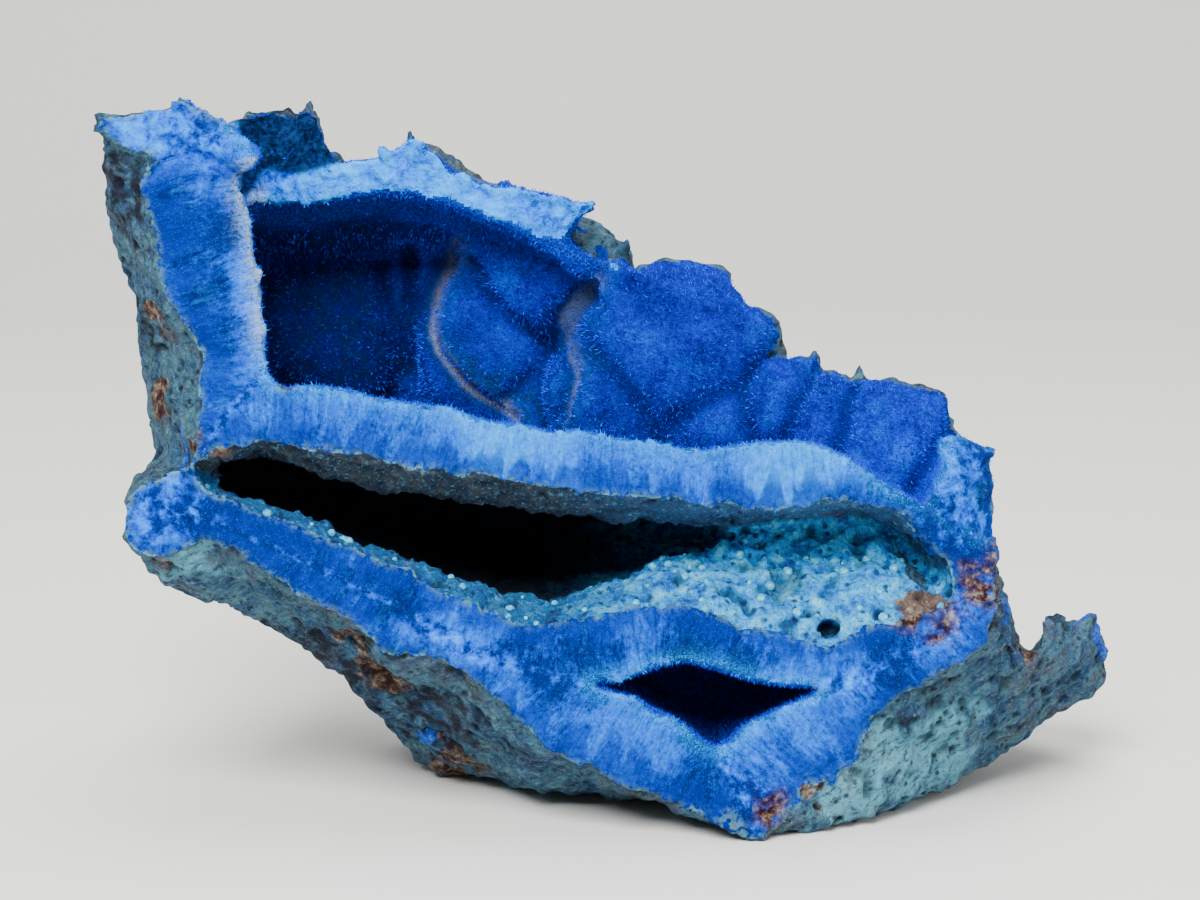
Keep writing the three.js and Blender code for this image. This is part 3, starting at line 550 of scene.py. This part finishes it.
def halved(skin, which):
    """The picked faces cut into quarters, which points may move without opening a gap, and a way to carry values
    over to them."""
    used, quads = np.unique(skin.quads[which], return_inverse=True)
    quads = quads.reshape(-1, 4)
    points = skin.points[used]
    edges, back, count = np.unique(quad_sides(quads), axis=0, return_inverse=True, return_counts=True)
    back = back.reshape(-1)
    n, m, f = len(points), len(edges), len(quads)
    middle = [n + back[i * f:(i + 1) * f] for i in range(4)]
    centre = n + m + np.arange(f)
    free = np.ones(n + m + f, bool)
    free[edges[count == 1].ravel()] = False
    free[n:n + m][count == 1] = False
    quarters = [np.column_stack([quads[:, i], middle[i], centre, middle[i - 1]]) for i in range(4)]

    def carried(values):
        values = values[used]
        return np.concatenate([values, values[edges].mean(1), values[quads].mean(1)])

    return Skin(carried(skin.points), np.concatenate(quarters)), free, carried


# Making objects

def add_object(name, data):
    obj = bpy.data.objects.new(name, data)
    bpy.context.scene.collection.objects.link(obj)
    return obj


def made_plain(obj):
    """The object's mesh with its modifiers applied."""
    return bpy.data.meshes.new_from_object(obj.evaluated_get(bpy.context.evaluated_depsgraph_get()))


def read_values(items, key, width=1, kind=np.float32):
    values = np.empty(len(items) * width, kind)
    items.foreach_get(key, values)
    return values


def add_values(mesh, name, values):
    layer = mesh.attributes.new(name, "FLOAT", "POINT")
    layer.data.foreach_set("value", values.astype(np.float32))


def mesh_object(name, skin, attributes, material, which=slice(None)):
    """An object of the skin's faces that `which` picks, with its named values on the points."""
    used, quads = np.unique(skin.quads[which], return_inverse=True)
    quads = quads.reshape(-1, 4)
    mesh = bpy.data.meshes.new(name)
    mesh.vertices.add(len(used))
    mesh.vertices.foreach_set("co", (skin.points[used] * MM).ravel())
    mesh.loops.add(len(quads) * 4)
    mesh.loops.foreach_set("vertex_index", quads.ravel())
    mesh.polygons.add(len(quads))
    mesh.polygons.foreach_set("loop_start", np.arange(0, len(quads) * 4, 4))
    mesh.polygons.foreach_set("use_smooth", np.ones(len(quads), bool))
    mesh.update(calc_edges=True)
    for key, values in attributes.items():
        add_values(mesh, key, values[used])
    mesh.materials.append(material)
    return finish_piece(add_object(name, mesh))


def finish_piece(obj):
    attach(obj, BODY)
    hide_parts(NODE)
    return obj


def face_kinds():
    """The kind of each face: the commonest among its corners."""
    kind = GROWN["kind"][GROWN["skin"].quads]
    return np.stack([(kind == k).sum(1) for k in range(4)]).argmax(0)


def add_node(tree, kind, inputs=(), **properties):
    """A new node with its properties set. Each input takes another node's socket or a plain value."""
    node = tree.nodes.new(kind)
    for key, value in properties.items():
        setattr(node, key, value)
    for key, value in dict(inputs).items():
        if isinstance(value, bpy.types.NodeSocket):
            tree.links.new(value, node.inputs[key])
        else:
            node.inputs[key].default_value = value
    return node


def scatter_group(name, balls):
    """Geometry nodes that stand needles on a surface, or sow little balls over it."""
    group = bpy.data.node_groups.new(name, "GeometryNodeTree")
    group.interface.new_socket("Geometry", in_out="OUTPUT", socket_type="NodeSocketGeometry")
    for label, kind in (("Geometry", "Geometry"), ("Density", "Float"), ("Size", "Float"), ("Lean", "Float"),
                        ("Seed", "Int"), ("Material", "Material")):
        group.interface.new_socket(label, in_out="INPUT", socket_type="NodeSocket" + kind)

    def node(kind, inputs=(), **properties):
        return add_node(group, kind, inputs, **properties).outputs

    given = node("NodeGroupInput")
    share = node("GeometryNodeInputNamedAttribute", {"Name": "growth"}, data_type="FLOAT")["Attribute"]
    density = node("ShaderNodeMath", {0: given["Density"], 1: share}, operation="MULTIPLY")[0]
    points = node("GeometryNodeDistributePointsOnFaces",
                  {"Mesh": given["Geometry"], "Density": density, "Seed": given["Seed"]})
    if balls:
        shape = node("GeometryNodeMeshIcoSphere", {"Radius": 1.0, "Subdivisions": 2})
    else:
        shape = node("GeometryNodeMeshCone",
                     {"Vertices": 3, "Radius Top": 0.0, "Radius Bottom": 0.12, "Depth": 1.0})
    aside = node("FunctionNodeRandomValue", {0: (-1, -1, -1), 1: (1, 1, 1), "Seed": given["Seed"]},
                 data_type="FLOAT_VECTOR")[0]
    aside = node("ShaderNodeVectorMath", {0: aside, "Scale": given["Lean"]}, operation="SCALE")[0]
    leaning = node("ShaderNodeVectorMath", {0: points["Normal"], 1: aside})[0]
    turn = node("FunctionNodeAlignRotationToVector", {"Vector": leaning}, axis="Z")[0]
    share = node("FunctionNodeRandomValue", {2: 0.45, 3: 1.25, "Seed": given["Seed"]})[1]
    size = node("ShaderNodeMath", {0: share, 1: given["Size"]}, operation="MULTIPLY")[0]
    placed = node("GeometryNodeInstanceOnPoints", {"Points": points["Points"], "Instance": shape["Mesh"],
                                                   "Rotation": turn, "Scale": size})[0]
    real = node("GeometryNodeRealizeInstances", {0: placed})[0]
    painted = node("GeometryNodeSetMaterial", {"Geometry": real, "Material": given["Material"]})[0]
    node("NodeGroupOutput", {0: painted})
    return group


def scatter(name, ground, growth, balls=False, **inputs):
    """Stands needles, or sows balls, on `ground` where `growth` is above 0."""
    mesh = ground.data.copy()
    obj = add_object(name, mesh)
    add_values(mesh, "growth", np.clip(growth, 0, 1))
    nodes = obj.modifiers.new("scatter", "NODES")
    nodes.node_group = scatter_group(name, balls)
    for item in nodes.node_group.interface.items_tree:
        if item.in_out == "INPUT" and item.name in inputs:
            nodes[item.identifier] = inputs[item.name]
    result = made_plain(obj)
    obj.modifiers.clear()
    obj.data = result
    result.name = name
    if balls:
        result.polygons.foreach_set("use_smooth", [True] * len(result.polygons))
    bpy.data.meshes.remove(mesh)
    return finish_piece(obj)


# Materials

def srgb(r, g, b):
    """A display colour, 0 to 255 each, as the shaders want it."""
    linear = (c / 12.92 if c <= 0.04045 else ((c + 0.055) / 1.055) ** 2.4 for c in (r / 255, g / 255, b / 255))
    return (*linear, 1.0)


class Shader:
    """Short ways to lay out a material's nodes. Three numbers for a colour are a display colour, 0 to 255 each."""

    def __init__(self, name):
        self.material = bpy.data.materials.new(name)
        self.material.use_nodes = True
        self.material.node_tree.nodes.clear()
        self.coordinates = self.node("TexCoord")["Object"]

    def node(self, kind, inputs=(), **properties):
        return add_node(self.material.node_tree, "ShaderNode" + kind, inputs, **properties).outputs

    def attribute(self, name):
        return self.node("Attribute", attribute_name=name)["Fac"]

    def math(self, operation, a, b, clamp=False):
        return self.node("Math", {0: a, 1: b}, operation=operation, use_clamp=clamp)[0]

    def times(self, a, b):
        return self.math("MULTIPLY", a, b)

    def plus(self, a, b):
        return self.math("ADD", a, b)

    def minus(self, a, b):
        return self.math("SUBTRACT", a, b)

    def total(self, *parts):
        """The sum of values, each times its weight."""
        result, *more = [value if weight == 1 else self.times(value, weight) for value, weight in parts]
        for value in more:
            result = self.plus(result, value)
        return result

    def noise(self, size, vector=None, detail=4.0, rough=0.55, distortion=0.0):
        return self.node("TexNoise", {"Vector": vector or self.coordinates, "Scale": 1.0 / size, "Detail": detail,
                                      "Roughness": rough, "Distortion": distortion})["Fac"]

    def cells(self, size, vector=None):
        return self.node("TexVoronoi", {"Vector": vector or self.coordinates, "Scale": 1.0 / size})["Distance"]

    def vector(self, x, y, z=0.0):
        return self.node("CombineXYZ", {0: x, 1: y, 2: z})[0]

    def turned(self, rotation, scale):
        """Object coordinates turned, then stretched: scale counts bumps to the metre on each axis."""
        turned = self.node("Mapping", {"Vector": self.coordinates, "Rotation": rotation})[0]
        return self.node("Mapping", {"Vector": turned, "Scale": scale})[0]

    def grey(self, value, low, high):
        """Eases value from 0 at low to 1 at high."""
        return self.node("MapRange", {0: value, 1: low, 2: high}, interpolation_type="SMOOTHSTEP")[0]

    def ramp(self, value, *stops):
        node = add_node(self.material.node_tree, "ShaderNodeValToRGB", {0: value})
        elements = node.color_ramp.elements
        while len(elements) < len(stops):
            elements.new(0.5)
        for element, (at, colour) in zip(elements, stops):
            element.position = at
            element.color = colour if len(colour) == 4 else srgb(*colour)
        return node.outputs[0]

    def mix(self, factor, a, b):
        a, b = (srgb(*colour) if isinstance(colour, tuple) and len(colour) == 3 else colour for colour in (a, b))
        return self.node("Mix", {0: factor, 6: a, 7: b}, data_type="RGBA")[2]

    def lay(self, colour, over, mask, strength):
        """`colour` with `over` laid on it where the mask is up, at most at the given strength."""
        return self.mix(self.times(mask, strength), colour, over)

    def rusty(self):
        """Maroon to tan."""
        return self.ramp(self.noise(0.9 * MM, rough=0.7), (0.36, (26, 7, 7)), (0.45, (58, 28, 22)),
                         (0.53, (88, 70, 60)), (0.61, (128, 114, 102)), (0.72, (170, 164, 154)))

    def finish(self, colour, roughness, shine=0.5, height=None, depth=0.0):
        """Ends the material. `height` swells the surface by up to `depth`, as a bump."""
        inputs = {"Base Color": colour, "Roughness": roughness, "Specular IOR Level": shine}
        if height is not None:
            inputs["Normal"] = self.node("Bump", {"Strength": 1.0, "Distance": depth, "Height": height})[0]
        self.node("OutputMaterial", {0: self.node("BsdfPrincipled", inputs)[0]})
        return self.material


def chosen(name):
    """A colour of the settings as the shaders want it."""
    return (*getattr(settings(), name), 1.0)


def fibre_material():
    """Broken fibres: streaks across the wall, frosted at the velvet rim, deep blue wedges at the rind side."""
    s = Shader("broken_fibre")
    along, across, from_rind, streaky = (s.attribute(key) for key in ("along", "across", "from_rind", "streaky"))
    lane = s.plus(along, s.times(s.minus(s.noise(2.6 * MM, detail=3), 0.5), 1.1))

    def stretched(over_lanes, over_depth, third):
        return s.vector(s.times(lane, over_lanes), s.times(from_rind, over_depth), third)

    fine, strand = (s.plus(0.5, s.times(s.minus(noise, 0.5), streaky)) for noise in (
        s.noise(1.0, stretched(4.6, 0.7, 0.0), 4, 0.7), s.noise(1.0, stretched(1.7, 0.33, 3.0), 3, 0.6)))
    wedge = s.minus(s.cells(1.0, stretched(0.7, 0.08, 1.0)), s.times(across, 0.9))
    clump, patch = s.noise(1.3 * MM, rough=0.65), s.noise(3.4 * MM, rough=0.6)
    crumb, speck = s.noise(0.42 * MM, rough=0.7), s.noise(0.11 * MM, detail=2, rough=0.6)
    crumbly = s.minus(1.0, streaky)
    rough = s.times(crumbly, s.minus(clump, 0.5))
    tone = s.total((fine, 0.24), (strand, 0.2), (patch, 0.26), (crumb, 0.30), (s.minus(across, 0.5), 0.05),
                   (s.attribute("shade"), 0.11), (s.minus(rough, s.times(crumbly, 0.03)), 0.85))
    colour = s.ramp(tone, (0.37, (0, 26, 104)), (0.43, (0, 54, 158)), (0.49, (0, 86, 208)),
                    (0.54, chosen("fibre_blue")), (0.60, (0, 132, 255)), (0.68, (0, 162, 255)))
    gap = s.times(s.grey(wedge, 0.08, 0.26), s.times(s.grey(across, 0.75, 0.25), streaky))
    colour = s.lay(colour, (0, 40, 150), gap, 0.7)
    tuft = s.times(s.grey(wedge, -0.05, -0.22), s.times(s.grey(across, 0.6, 0.1), streaky))
    colour = s.lay(colour, (0, 142, 255), tuft, 0.4)
    colour = s.lay(colour, (0, 166, 255), s.grey(speck, 0.58, 0.72), 0.4)
    colour = s.lay(colour, (0, 172, 255), s.times(s.attribute("frost"), s.grey(speck, 0.42, 0.58)), 0.75)
    colour = s.lay(colour, (150, 162, 166), s.attribute("ash"), s.grey(crumb, 0.36, 0.58))
    crust = s.times(s.attribute("crust"), s.grey(s.noise(0.7 * MM, detail=3), 0.42, 0.56))
    colour = s.lay(colour, (96, 150, 150), crust, 0.85)
    murk = s.mix(s.grey(crumb, 0.40, 0.62), (2, 6, 28), (8, 40, 88))
    colour = s.lay(colour, murk, s.attribute("dark"), 0.95)
    colour = s.lay(colour, s.rusty(), s.attribute("iron"), s.grey(s.noise(1.5 * MM, rough=0.65), 0.34, 0.5))
    return s.finish(colour, 0.75, 0.05, s.total((fine, 1), (strand, 0.6), (crumb, 0.7), (rough, 1.2)), 0.55 * MM)


def velvet_material():
    """Deep blue velvet of fine needles: pale along two creases, partly painted sheen; painted dark teal shade
    beside them; painted shade in the creases and deep in the hollow; painted sheen on ridges.
    """
    s = Shader("blue_velvet")
    crease, pale, teal, rim, deep, bloom, fringe = (
        s.attribute(key) for key in ("crease", "pale", "teal", "rim", "deep", "bloom", "fringe"))
    pile, tuft = s.noise(0.2 * MM, rough=0.75), s.noise(0.6 * MM, rough=0.65)
    wide, glint = s.noise(4.5 * MM, rough=0.6), s.noise(0.13 * MM, detail=2, rough=0.6)
    tone = s.total((pile, 0.4), (tuft, 0.3), (wide, 0.3))
    colour = s.ramp(tone, (0.37, (0, 6, 78)), (0.44, (0, 18, 134)), (0.50, chosen("velvet_blue")),
                    (0.56, (0, 56, 228)), (0.63, (0, 96, 255)))
    # painted sheen: a pale blue haze on the velvet's ridges and lobe margins, and on a few pale fuzzy places
    haze = s.times(bloom, s.grey(s.noise(3.0 * MM, rough=0.65), 0.48, 0.62))
    colour = s.lay(colour, (0, 112, 255), haze, s.grey(pile, 0.34, 0.6))
    # painted shade, tinted dark teal, beside the first two creases
    shade = s.times(teal, s.grey(s.noise(1.6 * MM, rough=0.65), 0.36, 0.56))
    colour = s.lay(colour, s.mix(s.grey(pile, 0.42, 0.6), (4, 26, 44), (30, 88, 118)), shade, 0.9)
    # painted shade: dark blue in the creases between the lobes and in the fold under the roof
    colour = s.lay(colour, (0, 14, 84), s.grey(crease, 0.15, 0.85), 0.75)
    colour = s.lay(colour, (20, 146, 255), s.grey(glint, 0.64, 0.76), 0.6)
    # pale fuzzy edge beside the first two creases: partly the velvet's own pale fuzz, partly painted sheen
    edge = s.times(pale, s.grey(s.total((pile, 1), (tuft, 0.5)), 0.42, 0.78))
    colour = s.lay(colour, s.ramp(pale, (0.3, (20, 110, 214)), (0.9, (176, 190, 196))), edge, 0.9)
    colour = s.lay(colour, (0, 112, 252), s.grey(rim, 0.05, 0.5), 0.8)
    # painted shade: near-black blue laid over the velvet deep in the hollow
    murk = s.mix(s.grey(s.noise(1.2 * MM, rough=0.7), 0.42, 0.58), (0, 10, 90), (10, 36, 56))
    colour = s.lay(colour, murk, deep, 0.8)
    fuzz = s.ramp(pile, (0.38, (0, 14, 90)), (0.52, (0, 46, 180)), (0.66, (20, 130, 250)))
    colour = s.lay(colour, fuzz, fringe, 0.75)
    return s.finish(colour, 0.85, 0.06, s.total((pile, 1), (tuft, 0.8)), 0.6 * MM)


def rind_material(name, slot):
    """Rough teal and grey rind with rusty stains, broken blue places and dark pits, or the slot's aqua floor."""
    s = Shader(name)
    edges = s.noise(2.6 * MM, detail=5, rough=0.7)
    iron, blue, dusk, bright = (s.grey(s.times(s.attribute(key), edges), low, high) for key, low, high in (
        ("iron", 0.30, 0.46), ("blue", 0.32, 0.46), ("dusk", 0.20, 0.42), ("bright", 0.22, 0.44)))
    mid, grain = s.noise(1.8 * MM, rough=0.65), s.noise(0.42 * MM, rough=0.75)
    pocks = s.cells(1.25 * MM)
    if slot:
        lit = s.attribute("lit")
        floor = s.ramp(mid, (0.34, (0, 80, 176)), (0.45, (14, 138, 226)), (0.56, chosen("slot_aqua")),
                       (0.68, (112, 220, 255)))
        floor = s.lay(floor, (10, 66, 124), s.minus(1.0, lit), 0.8)
        above = s.ramp(mid, (0.32, (14, 24, 44)), (0.46, (34, 50, 70)), (0.6, (62, 72, 80)), (0.72, (40, 84, 116)))
        above = s.lay(above, (36, 92, 146), lit, 0.7)
        colour = s.mix(s.attribute("ceiling"), floor, above)
        colour = s.lay(colour, (6, 40, 104), s.grey(pocks, 0.28, 0.12), 0.85)
        flecks, strays, rust = (96, 200, 240), 0.2, s.mix(0.3, s.rusty(), (164, 142, 130))
    else:
        streaks = s.noise(1.0, s.turned((0, math.radians(28), 0), (420, 900, 1500)), 5, 0.75)
        wide = s.noise(6.5 * MM, rough=0.6, distortion=0.6)
        colour = s.ramp(wide, (0.28, (26, 46, 80)), (0.42, (36, 76, 108)), (0.50, chosen("rind_teal")),
                        (0.58, (70, 84, 108)), (0.66, (56, 80, 78)), (0.8, (78, 76, 104)))
        colour = s.lay(colour, (28, 78, 138), s.grey(mid, 0.5, 0.66), 0.5)
        # lighter teal at the bright places, the two low down at u -5 and -7 being painted reflected light
        colour = s.lay(colour, (104, 184, 206), bright, 0.6)
        colour = s.lay(colour, (16, 34, 66), s.grey(streaks, 0.48, 0.36), 0.75)
        colour = s.lay(colour, (104, 152, 162), s.grey(streaks, 0.52, 0.66), 0.4)
        colour = s.lay(colour, (12, 24, 50), s.grey(pocks, 0.26, 0.12), 0.85)
        flecks, strays, rust = (124, 166, 170), 0.5, s.rusty()
    colour = s.lay(colour, flecks, s.grey(grain, 0.54, 0.68), 0.5)
    colour = s.lay(colour, (12, 28, 60), s.grey(grain, 0.46, 0.32), 0.8)
    colour = s.lay(colour, (8, 20, 44), dusk, s.grey(mid, 0.66, 0.40))
    colour = s.mix(blue, colour, s.ramp(grain, (0.35, (2, 44, 160)), (0.52, (20, 96, 212)), (0.7, (96, 170, 244))))
    stray = s.times(s.grey(s.noise(5.0 * MM, detail=5, rough=0.7), 0.60, 0.70), strays)
    colour = s.mix(s.math("ADD", iron, stray, clamp=True), colour, rust)
    colour = s.lay(colour, (10, 12, 24), s.attribute("pit"), 0.92)
    if slot:
        # painted shade: the slot goes near black deep inside, less where lit is up
        colour = s.lay(colour, (2, 4, 14), s.attribute("deep"), s.minus(0.94, s.times(lit, 0.92)))
    height = s.total((grain, 1), (s.cells(0.6 * MM), -0.5), (s.grey(pocks, 0.10, 0.34), 0.6))
    return s.finish(colour, 0.88, 0.25, height, 0.8 * MM)


def ball_material():
    """Frosted pale aqua."""
    s = Shader("pale_ball")
    frost = s.noise(0.25 * MM, detail=3)
    colour = s.mix(s.grey(frost, 0.4, 0.65), (30, 138, 184), chosen("ball_aqua"))
    colour = s.lay(colour, (44, 112, 156), s.grey(s.noise(2.5 * MM, detail=1), 0.45, 0.6), 0.5)
    return s.finish(colour, 0.5, 0.45, frost, 0.15 * MM)


def needle_material(name, blues):
    """Tiny needles, each in one of three blues."""
    s = Shader(name)
    return s.finish(s.ramp(s.noise(0.5 * MM, detail=2), *zip((0.36, 0.52, 0.68), blues)), 0.6, 0.12)


# Settings

LENGTH = {"subtype": "DISTANCE", "unit": "LENGTH", "min": 0.0}
COLOUR = {"subtype": "COLOR", "size": 3, "min": 0.0, "max": 1.0}


class ShattuckiteSettings(bpy.types.PropertyGroup):
    """Sizes and colours of the specimen's fine surface."""
    voxel: bpy.props.FloatProperty(name="Grain of the skin", description="Spacing of the fine surface's points",
                                   default=0.315 * MM, **LENGTH)
    fibre_relief: bpy.props.FloatProperty(name="Fibre relief", default=0.36 * MM, **LENGTH,
                                          description="Height of the sheaves on the broken face")
    rind_relief: bpy.props.FloatProperty(name="Rind relief", default=0.56 * MM, **LENGTH,
                                         description="Height of the lumps and pits on the rind")
    velvet_relief: bpy.props.FloatProperty(name="Velvet relief", default=0.16 * MM, **LENGTH,
                                           description="Height of the waves on the velvet")
    raggedness: bpy.props.FloatProperty(name="Raggedness", default=1.25 * MM, **LENGTH,
                                        description="How far the rims and crests break off unevenly")
    needle_length: bpy.props.FloatProperty(name="Needle length", default=0.38 * MM, **LENGTH,
                                           description="Length of the needles of the nap")
    needle_density: bpy.props.FloatProperty(name="Needles per square metre", default=9.5e6, min=0.0,
                                            description="How thickly the needles stand on the velvet")
    ball_density: bpy.props.FloatProperty(name="Balls per square metre", default=0.09e6, min=0.0,
                                          description="How thickly the balls lie on the slot's floor")
    ball_radius: bpy.props.FloatProperty(name="Ball radius", default=0.42 * MM, **LENGTH,
                                         description="Radius of the little balls in the slot")
    fibre_blue: bpy.props.FloatVectorProperty(name="Fibre blue", default=srgb(0, 108, 240)[:3], **COLOUR,
                                              description="Middle blue of the broken fibres")
    velvet_blue: bpy.props.FloatVectorProperty(name="Velvet blue", default=srgb(0, 36, 186)[:3], **COLOUR,
                                               description="Middle blue of the velvet lobes")
    rind_teal: bpy.props.FloatVectorProperty(name="Rind teal", default=srgb(62, 108, 126)[:3], **COLOUR,
                                             description="Middle colour of the rind outside")
    slot_aqua: bpy.props.FloatVectorProperty(name="Slot aqua", default=srgb(48, 182, 250)[:3], **COLOUR,
                                             description="Lit colour of the slot's floor")
    ball_aqua: bpy.props.FloatVectorProperty(name="Ball aqua", default=srgb(96, 200, 220)[:3], **COLOUR,
                                             description="Frosted colour of the little balls")


def settings():
    return bpy.context.scene.shattuckite


# The pieces

class SPECIMEN_OT_fibrous_walls(bpy.types.Operator):
    """Grow the broken, fibrous faces of the walls, with needles along their velvet rims"""
    bl_idname = "specimen.fibrous_walls"
    bl_label = "Fibrous walls"

    def execute(self, context):
        own = grown()
        skin, free, carried = halved(own["skin"], face_kinds() == FACE)
        p = skin.points
        u, v, y = seen_from_eye(p).T
        from_rind, from_rim = carried(own["from_rind"]), carried(own["from_rim"])
        along, from_seam, from_mitre = fibre_places(u, v, y)
        across = from_rind / np.maximum(from_rind + np.minimum(from_rim, from_seam), 1e-6)
        crumbly = spots(p, CRUMBLY)
        lane, nothing = along + 0.7 * value_noise(p, 2.5, 51), np.zeros(len(p))
        sheaf = value_noise(np.column_stack([lane / 1.2, from_rind / 4.5, nothing]), 1.0, 53)
        strand = value_noise(np.column_stack([lane / 0.5, from_rind / 2.0, nothing]), 1.0, 55)
        crumb = value_noise(p, 0.5, 57)
        crumb += crumbly * (1.2 - 3.4 * np.abs(value_noise(p, 1.7, 59)) + 1.2 * value_noise(p, 0.9, 60))
        lift = skin.spread(settings().fibre_relief / MM * (0.8 * sheaf + 0.55 * strand + 0.5 * crumb), 1)
        from_join = np.minimum(from_seam, from_mitre)
        lift *= smoothstep(from_join, 0.1, 1.4)
        p[free] += (skin.normals() * lift[:, None])[free]
        frost = np.exp(-(from_rim / 1.25) ** 2) * (1 - 0.7 * spots(p, FROSTLESS))
        dark = inside(u, v, DARK_BITS) & (y > 12)
        values = {
            "along": along, "across": across, "from_rind": from_rind, "frost": frost,
            "ash": frost * (u < -30.5) * (v < 27) * smoothstep(v, 6, 12),
            "streaky": smoothstep(from_join, 0.1, 1.3) * (1 - 0.9 * crumbly),
            "crust": np.maximum(np.exp(-(from_rind / 0.5) ** 2), spots(p, CRUST_SPOTS)),
            "iron": spots(p, FACE_IRON), "dark": skin.spread(dark.astype(float), 3),
            "shade": spots(p, LIGHT_WALL) - spots(p, DEEP_WALL)}
        walls = mesh_object("fibrous_walls", skin, values, fibre_material())
        scatter("rim_needles", walls, np.exp(-(from_rim / 0.7) ** 2) * ~dark, Lean=0.9, Seed=5,
                Density=settings().needle_density, Size=settings().needle_length,
                Material=needle_material("rim_needle", RIM_NEEDLE_BLUES))
        return {"FINISHED"}


class SPECIMEN_OT_velvet_lining(bpy.types.Operator):
    """Grow the velvet lobes that line the hollows, with their nap of needles"""
    bl_idname = "specimen.velvet_lining"
    bl_label = "Velvet lining"

    def execute(self, context):
        own = grown()
        values = {key: own[key] for key in ("crease", "rim", "pale", "teal", "fringe", "bloom")}
        # painted shade: the velvet darkens deep in the hollow, most towards the hollow's left end
        values["deep"] = own["deep"] * (0.3 + 0.7 * smoothstep(-own["seen"][:, 0], 15, 23))
        lining = mesh_object("velvet_lining", own["skin"], values, velvet_material(), face_kinds() == VELVET)
        growth = 1.0 - 0.6 * read_values(lining.data.attributes["deep"].data, "value")
        scatter("velvet_nap", lining, growth, Lean=0.7, Seed=3,
                Density=settings().needle_density, Size=settings().needle_length,
                Material=needle_material("velvet_needle", VELVET_NEEDLE_BLUES))
        return {"FINISHED"}


class SPECIMEN_OT_rind(bpy.types.Operator):
    """Grow the rough rind outside, the rind inside the slot, and the pale balls sown in the slot"""
    bl_idname = "specimen.rind"
    bl_label = "Rind and little balls"

    def execute(self, context):
        own = grown()
        skin = own["skin"]
        values = {"pit": own["pit"], "deep": own["deep"], "lit": own["lit"],
                  "iron": np.maximum(spots(skin.points, IRON_SPOTS), own["stained"]),
                  "blue": spots(skin.points, BLUE_SPOTS), "dusk": spots(skin.points, DUSKY_SPOTS),
                  "bright": spots(skin.points, BRIGHT_SPOTS),
                  "ceiling": smoothstep(-own["normals"][:, 2], -0.1, 0.35)}
        kinds = face_kinds()
        slot = mesh_object("slot_rind", skin, values, rind_material("slot_rind", True), kinds == SLOT_SIDE)
        outer = rind_material("outer_rind", False)
        back = skin.points[skin.quads].mean(1)[:, 1] > 2.0
        for name, which in (("rind_front", ~back), ("rind_back", back)):
            mesh_object(name, skin, values, outer, (kinds == RIND) & which)
        up = smoothstep(read_values(slot.data.vertex_normals, "vector", 3)[2::3], 0.1, 0.6)
        deep = read_values(slot.data.attributes["deep"].data, "value")
        scatter("slot_balls", slot, up * (1 - deep) ** 2, balls=True, Lean=0.0, Seed=11,
                Density=settings().ball_density, Size=settings().ball_radius, Material=ball_material())
        return {"FINISHED"}


class SPECIMEN_OT_stage(bpy.types.Operator):
    """Set up the camera, the floor and the lights"""
    bl_idname = "specimen.stage"
    bl_label = "Stage"

    def execute(self, context):
        camera = bpy.data.cameras.new("view")
        camera.sensor_width = SENSOR_MM
        camera.lens = SENSOR_MM * FOCAL_PIXELS / PICTURE_PIXELS
        camera.clip_end = 10
        eye = add_object("view", camera)
        eye.location = Vector((EYE + LUMP_ZERO) * MM)
        eye.rotation_euler = (math.radians(90) - VIEW_TILT, 0, 0)
        context.scene.camera = eye

        # a sheet that sweeps up behind the lump
        bend = [(0.35 + 0.35 * math.sin(a), 0.35 - 0.35 * math.cos(a)) for a in np.linspace(0.15, 1.57, 10)]
        profile = [(-0.9, 0.0), (0.35, 0.0), *bend, (0.7, 1.6)]
        n = len(profile)
        mesh = bpy.data.meshes.new("floor")
        mesh.from_pydata([(x, y, z) for x in (-1.6, 1.6) for y, z in profile], [],
                         [(i, i + n, i + n + 1, i + 1) for i in range(n - 1)])
        mesh.polygons.foreach_set("use_smooth", [True] * len(mesh.polygons))
        paper = Shader("pale_floor")
        tone = paper.mix(paper.noise(0.2), (0.76, 0.755, 0.715, 1), (0.80, 0.795, 0.755, 1))
        mesh.materials.append(paper.finish(tone, 0.6))
        add_object("floor", mesh)

        world = bpy.data.worlds.new("studio")
        world.use_nodes = True
        sky = world.node_tree.nodes["Background"].inputs
        sky["Color"].default_value = (0.93, 0.96, 1.0, 1)
        sky["Strength"].default_value = 0.24
        context.scene.world = world
        for name, place, size, power in LIGHTS:
            light = bpy.data.lights.new(name, "AREA")
            light.size = size
            light.energy = power
            lamp = add_object(name, light)
            lamp.location = place
            lamp.rotation_euler = (LIGHTS_AIM - Vector(place)).to_track_quat("-Z", "Y").to_euler()
        return {"FINISHED"}


class SPECIMEN_PT_panel(bpy.types.Panel):
    """Lists the specimen's pieces"""
    bl_idname = "SPECIMEN_PT_panel"
    bl_label = "Shattuckite specimen"
    bl_space_type = "VIEW_3D"
    bl_region_type = "UI"
    bl_category = "Specimen"

    def draw(self, context):
        for name in settings().__annotations__:
            self.layout.prop(settings(), name)
        for operator in OPERATORS:
            self.layout.operator(operator.bl_idname)


OPERATORS = (SPECIMEN_OT_stage, SPECIMEN_OT_fibrous_walls, SPECIMEN_OT_velvet_lining, SPECIMEN_OT_rind)
CLASSES = (ShattuckiteSettings, *OPERATORS, SPECIMEN_PT_panel)


def register():
    for cls in CLASSES:
        bpy.utils.register_class(cls)
    bpy.types.Scene.shattuckite = bpy.props.PointerProperty(type=ShattuckiteSettings)


def unregister():
    del bpy.types.Scene.shattuckite
    for cls in reversed(CLASSES):
        bpy.utils.unregister_class(cls)


def main():
    register()
    for operator in OPERATORS:
        group, name = operator.bl_idname.split(".")
        getattr(getattr(bpy.ops, group), name)()


if __name__ == "__main__":
    main()
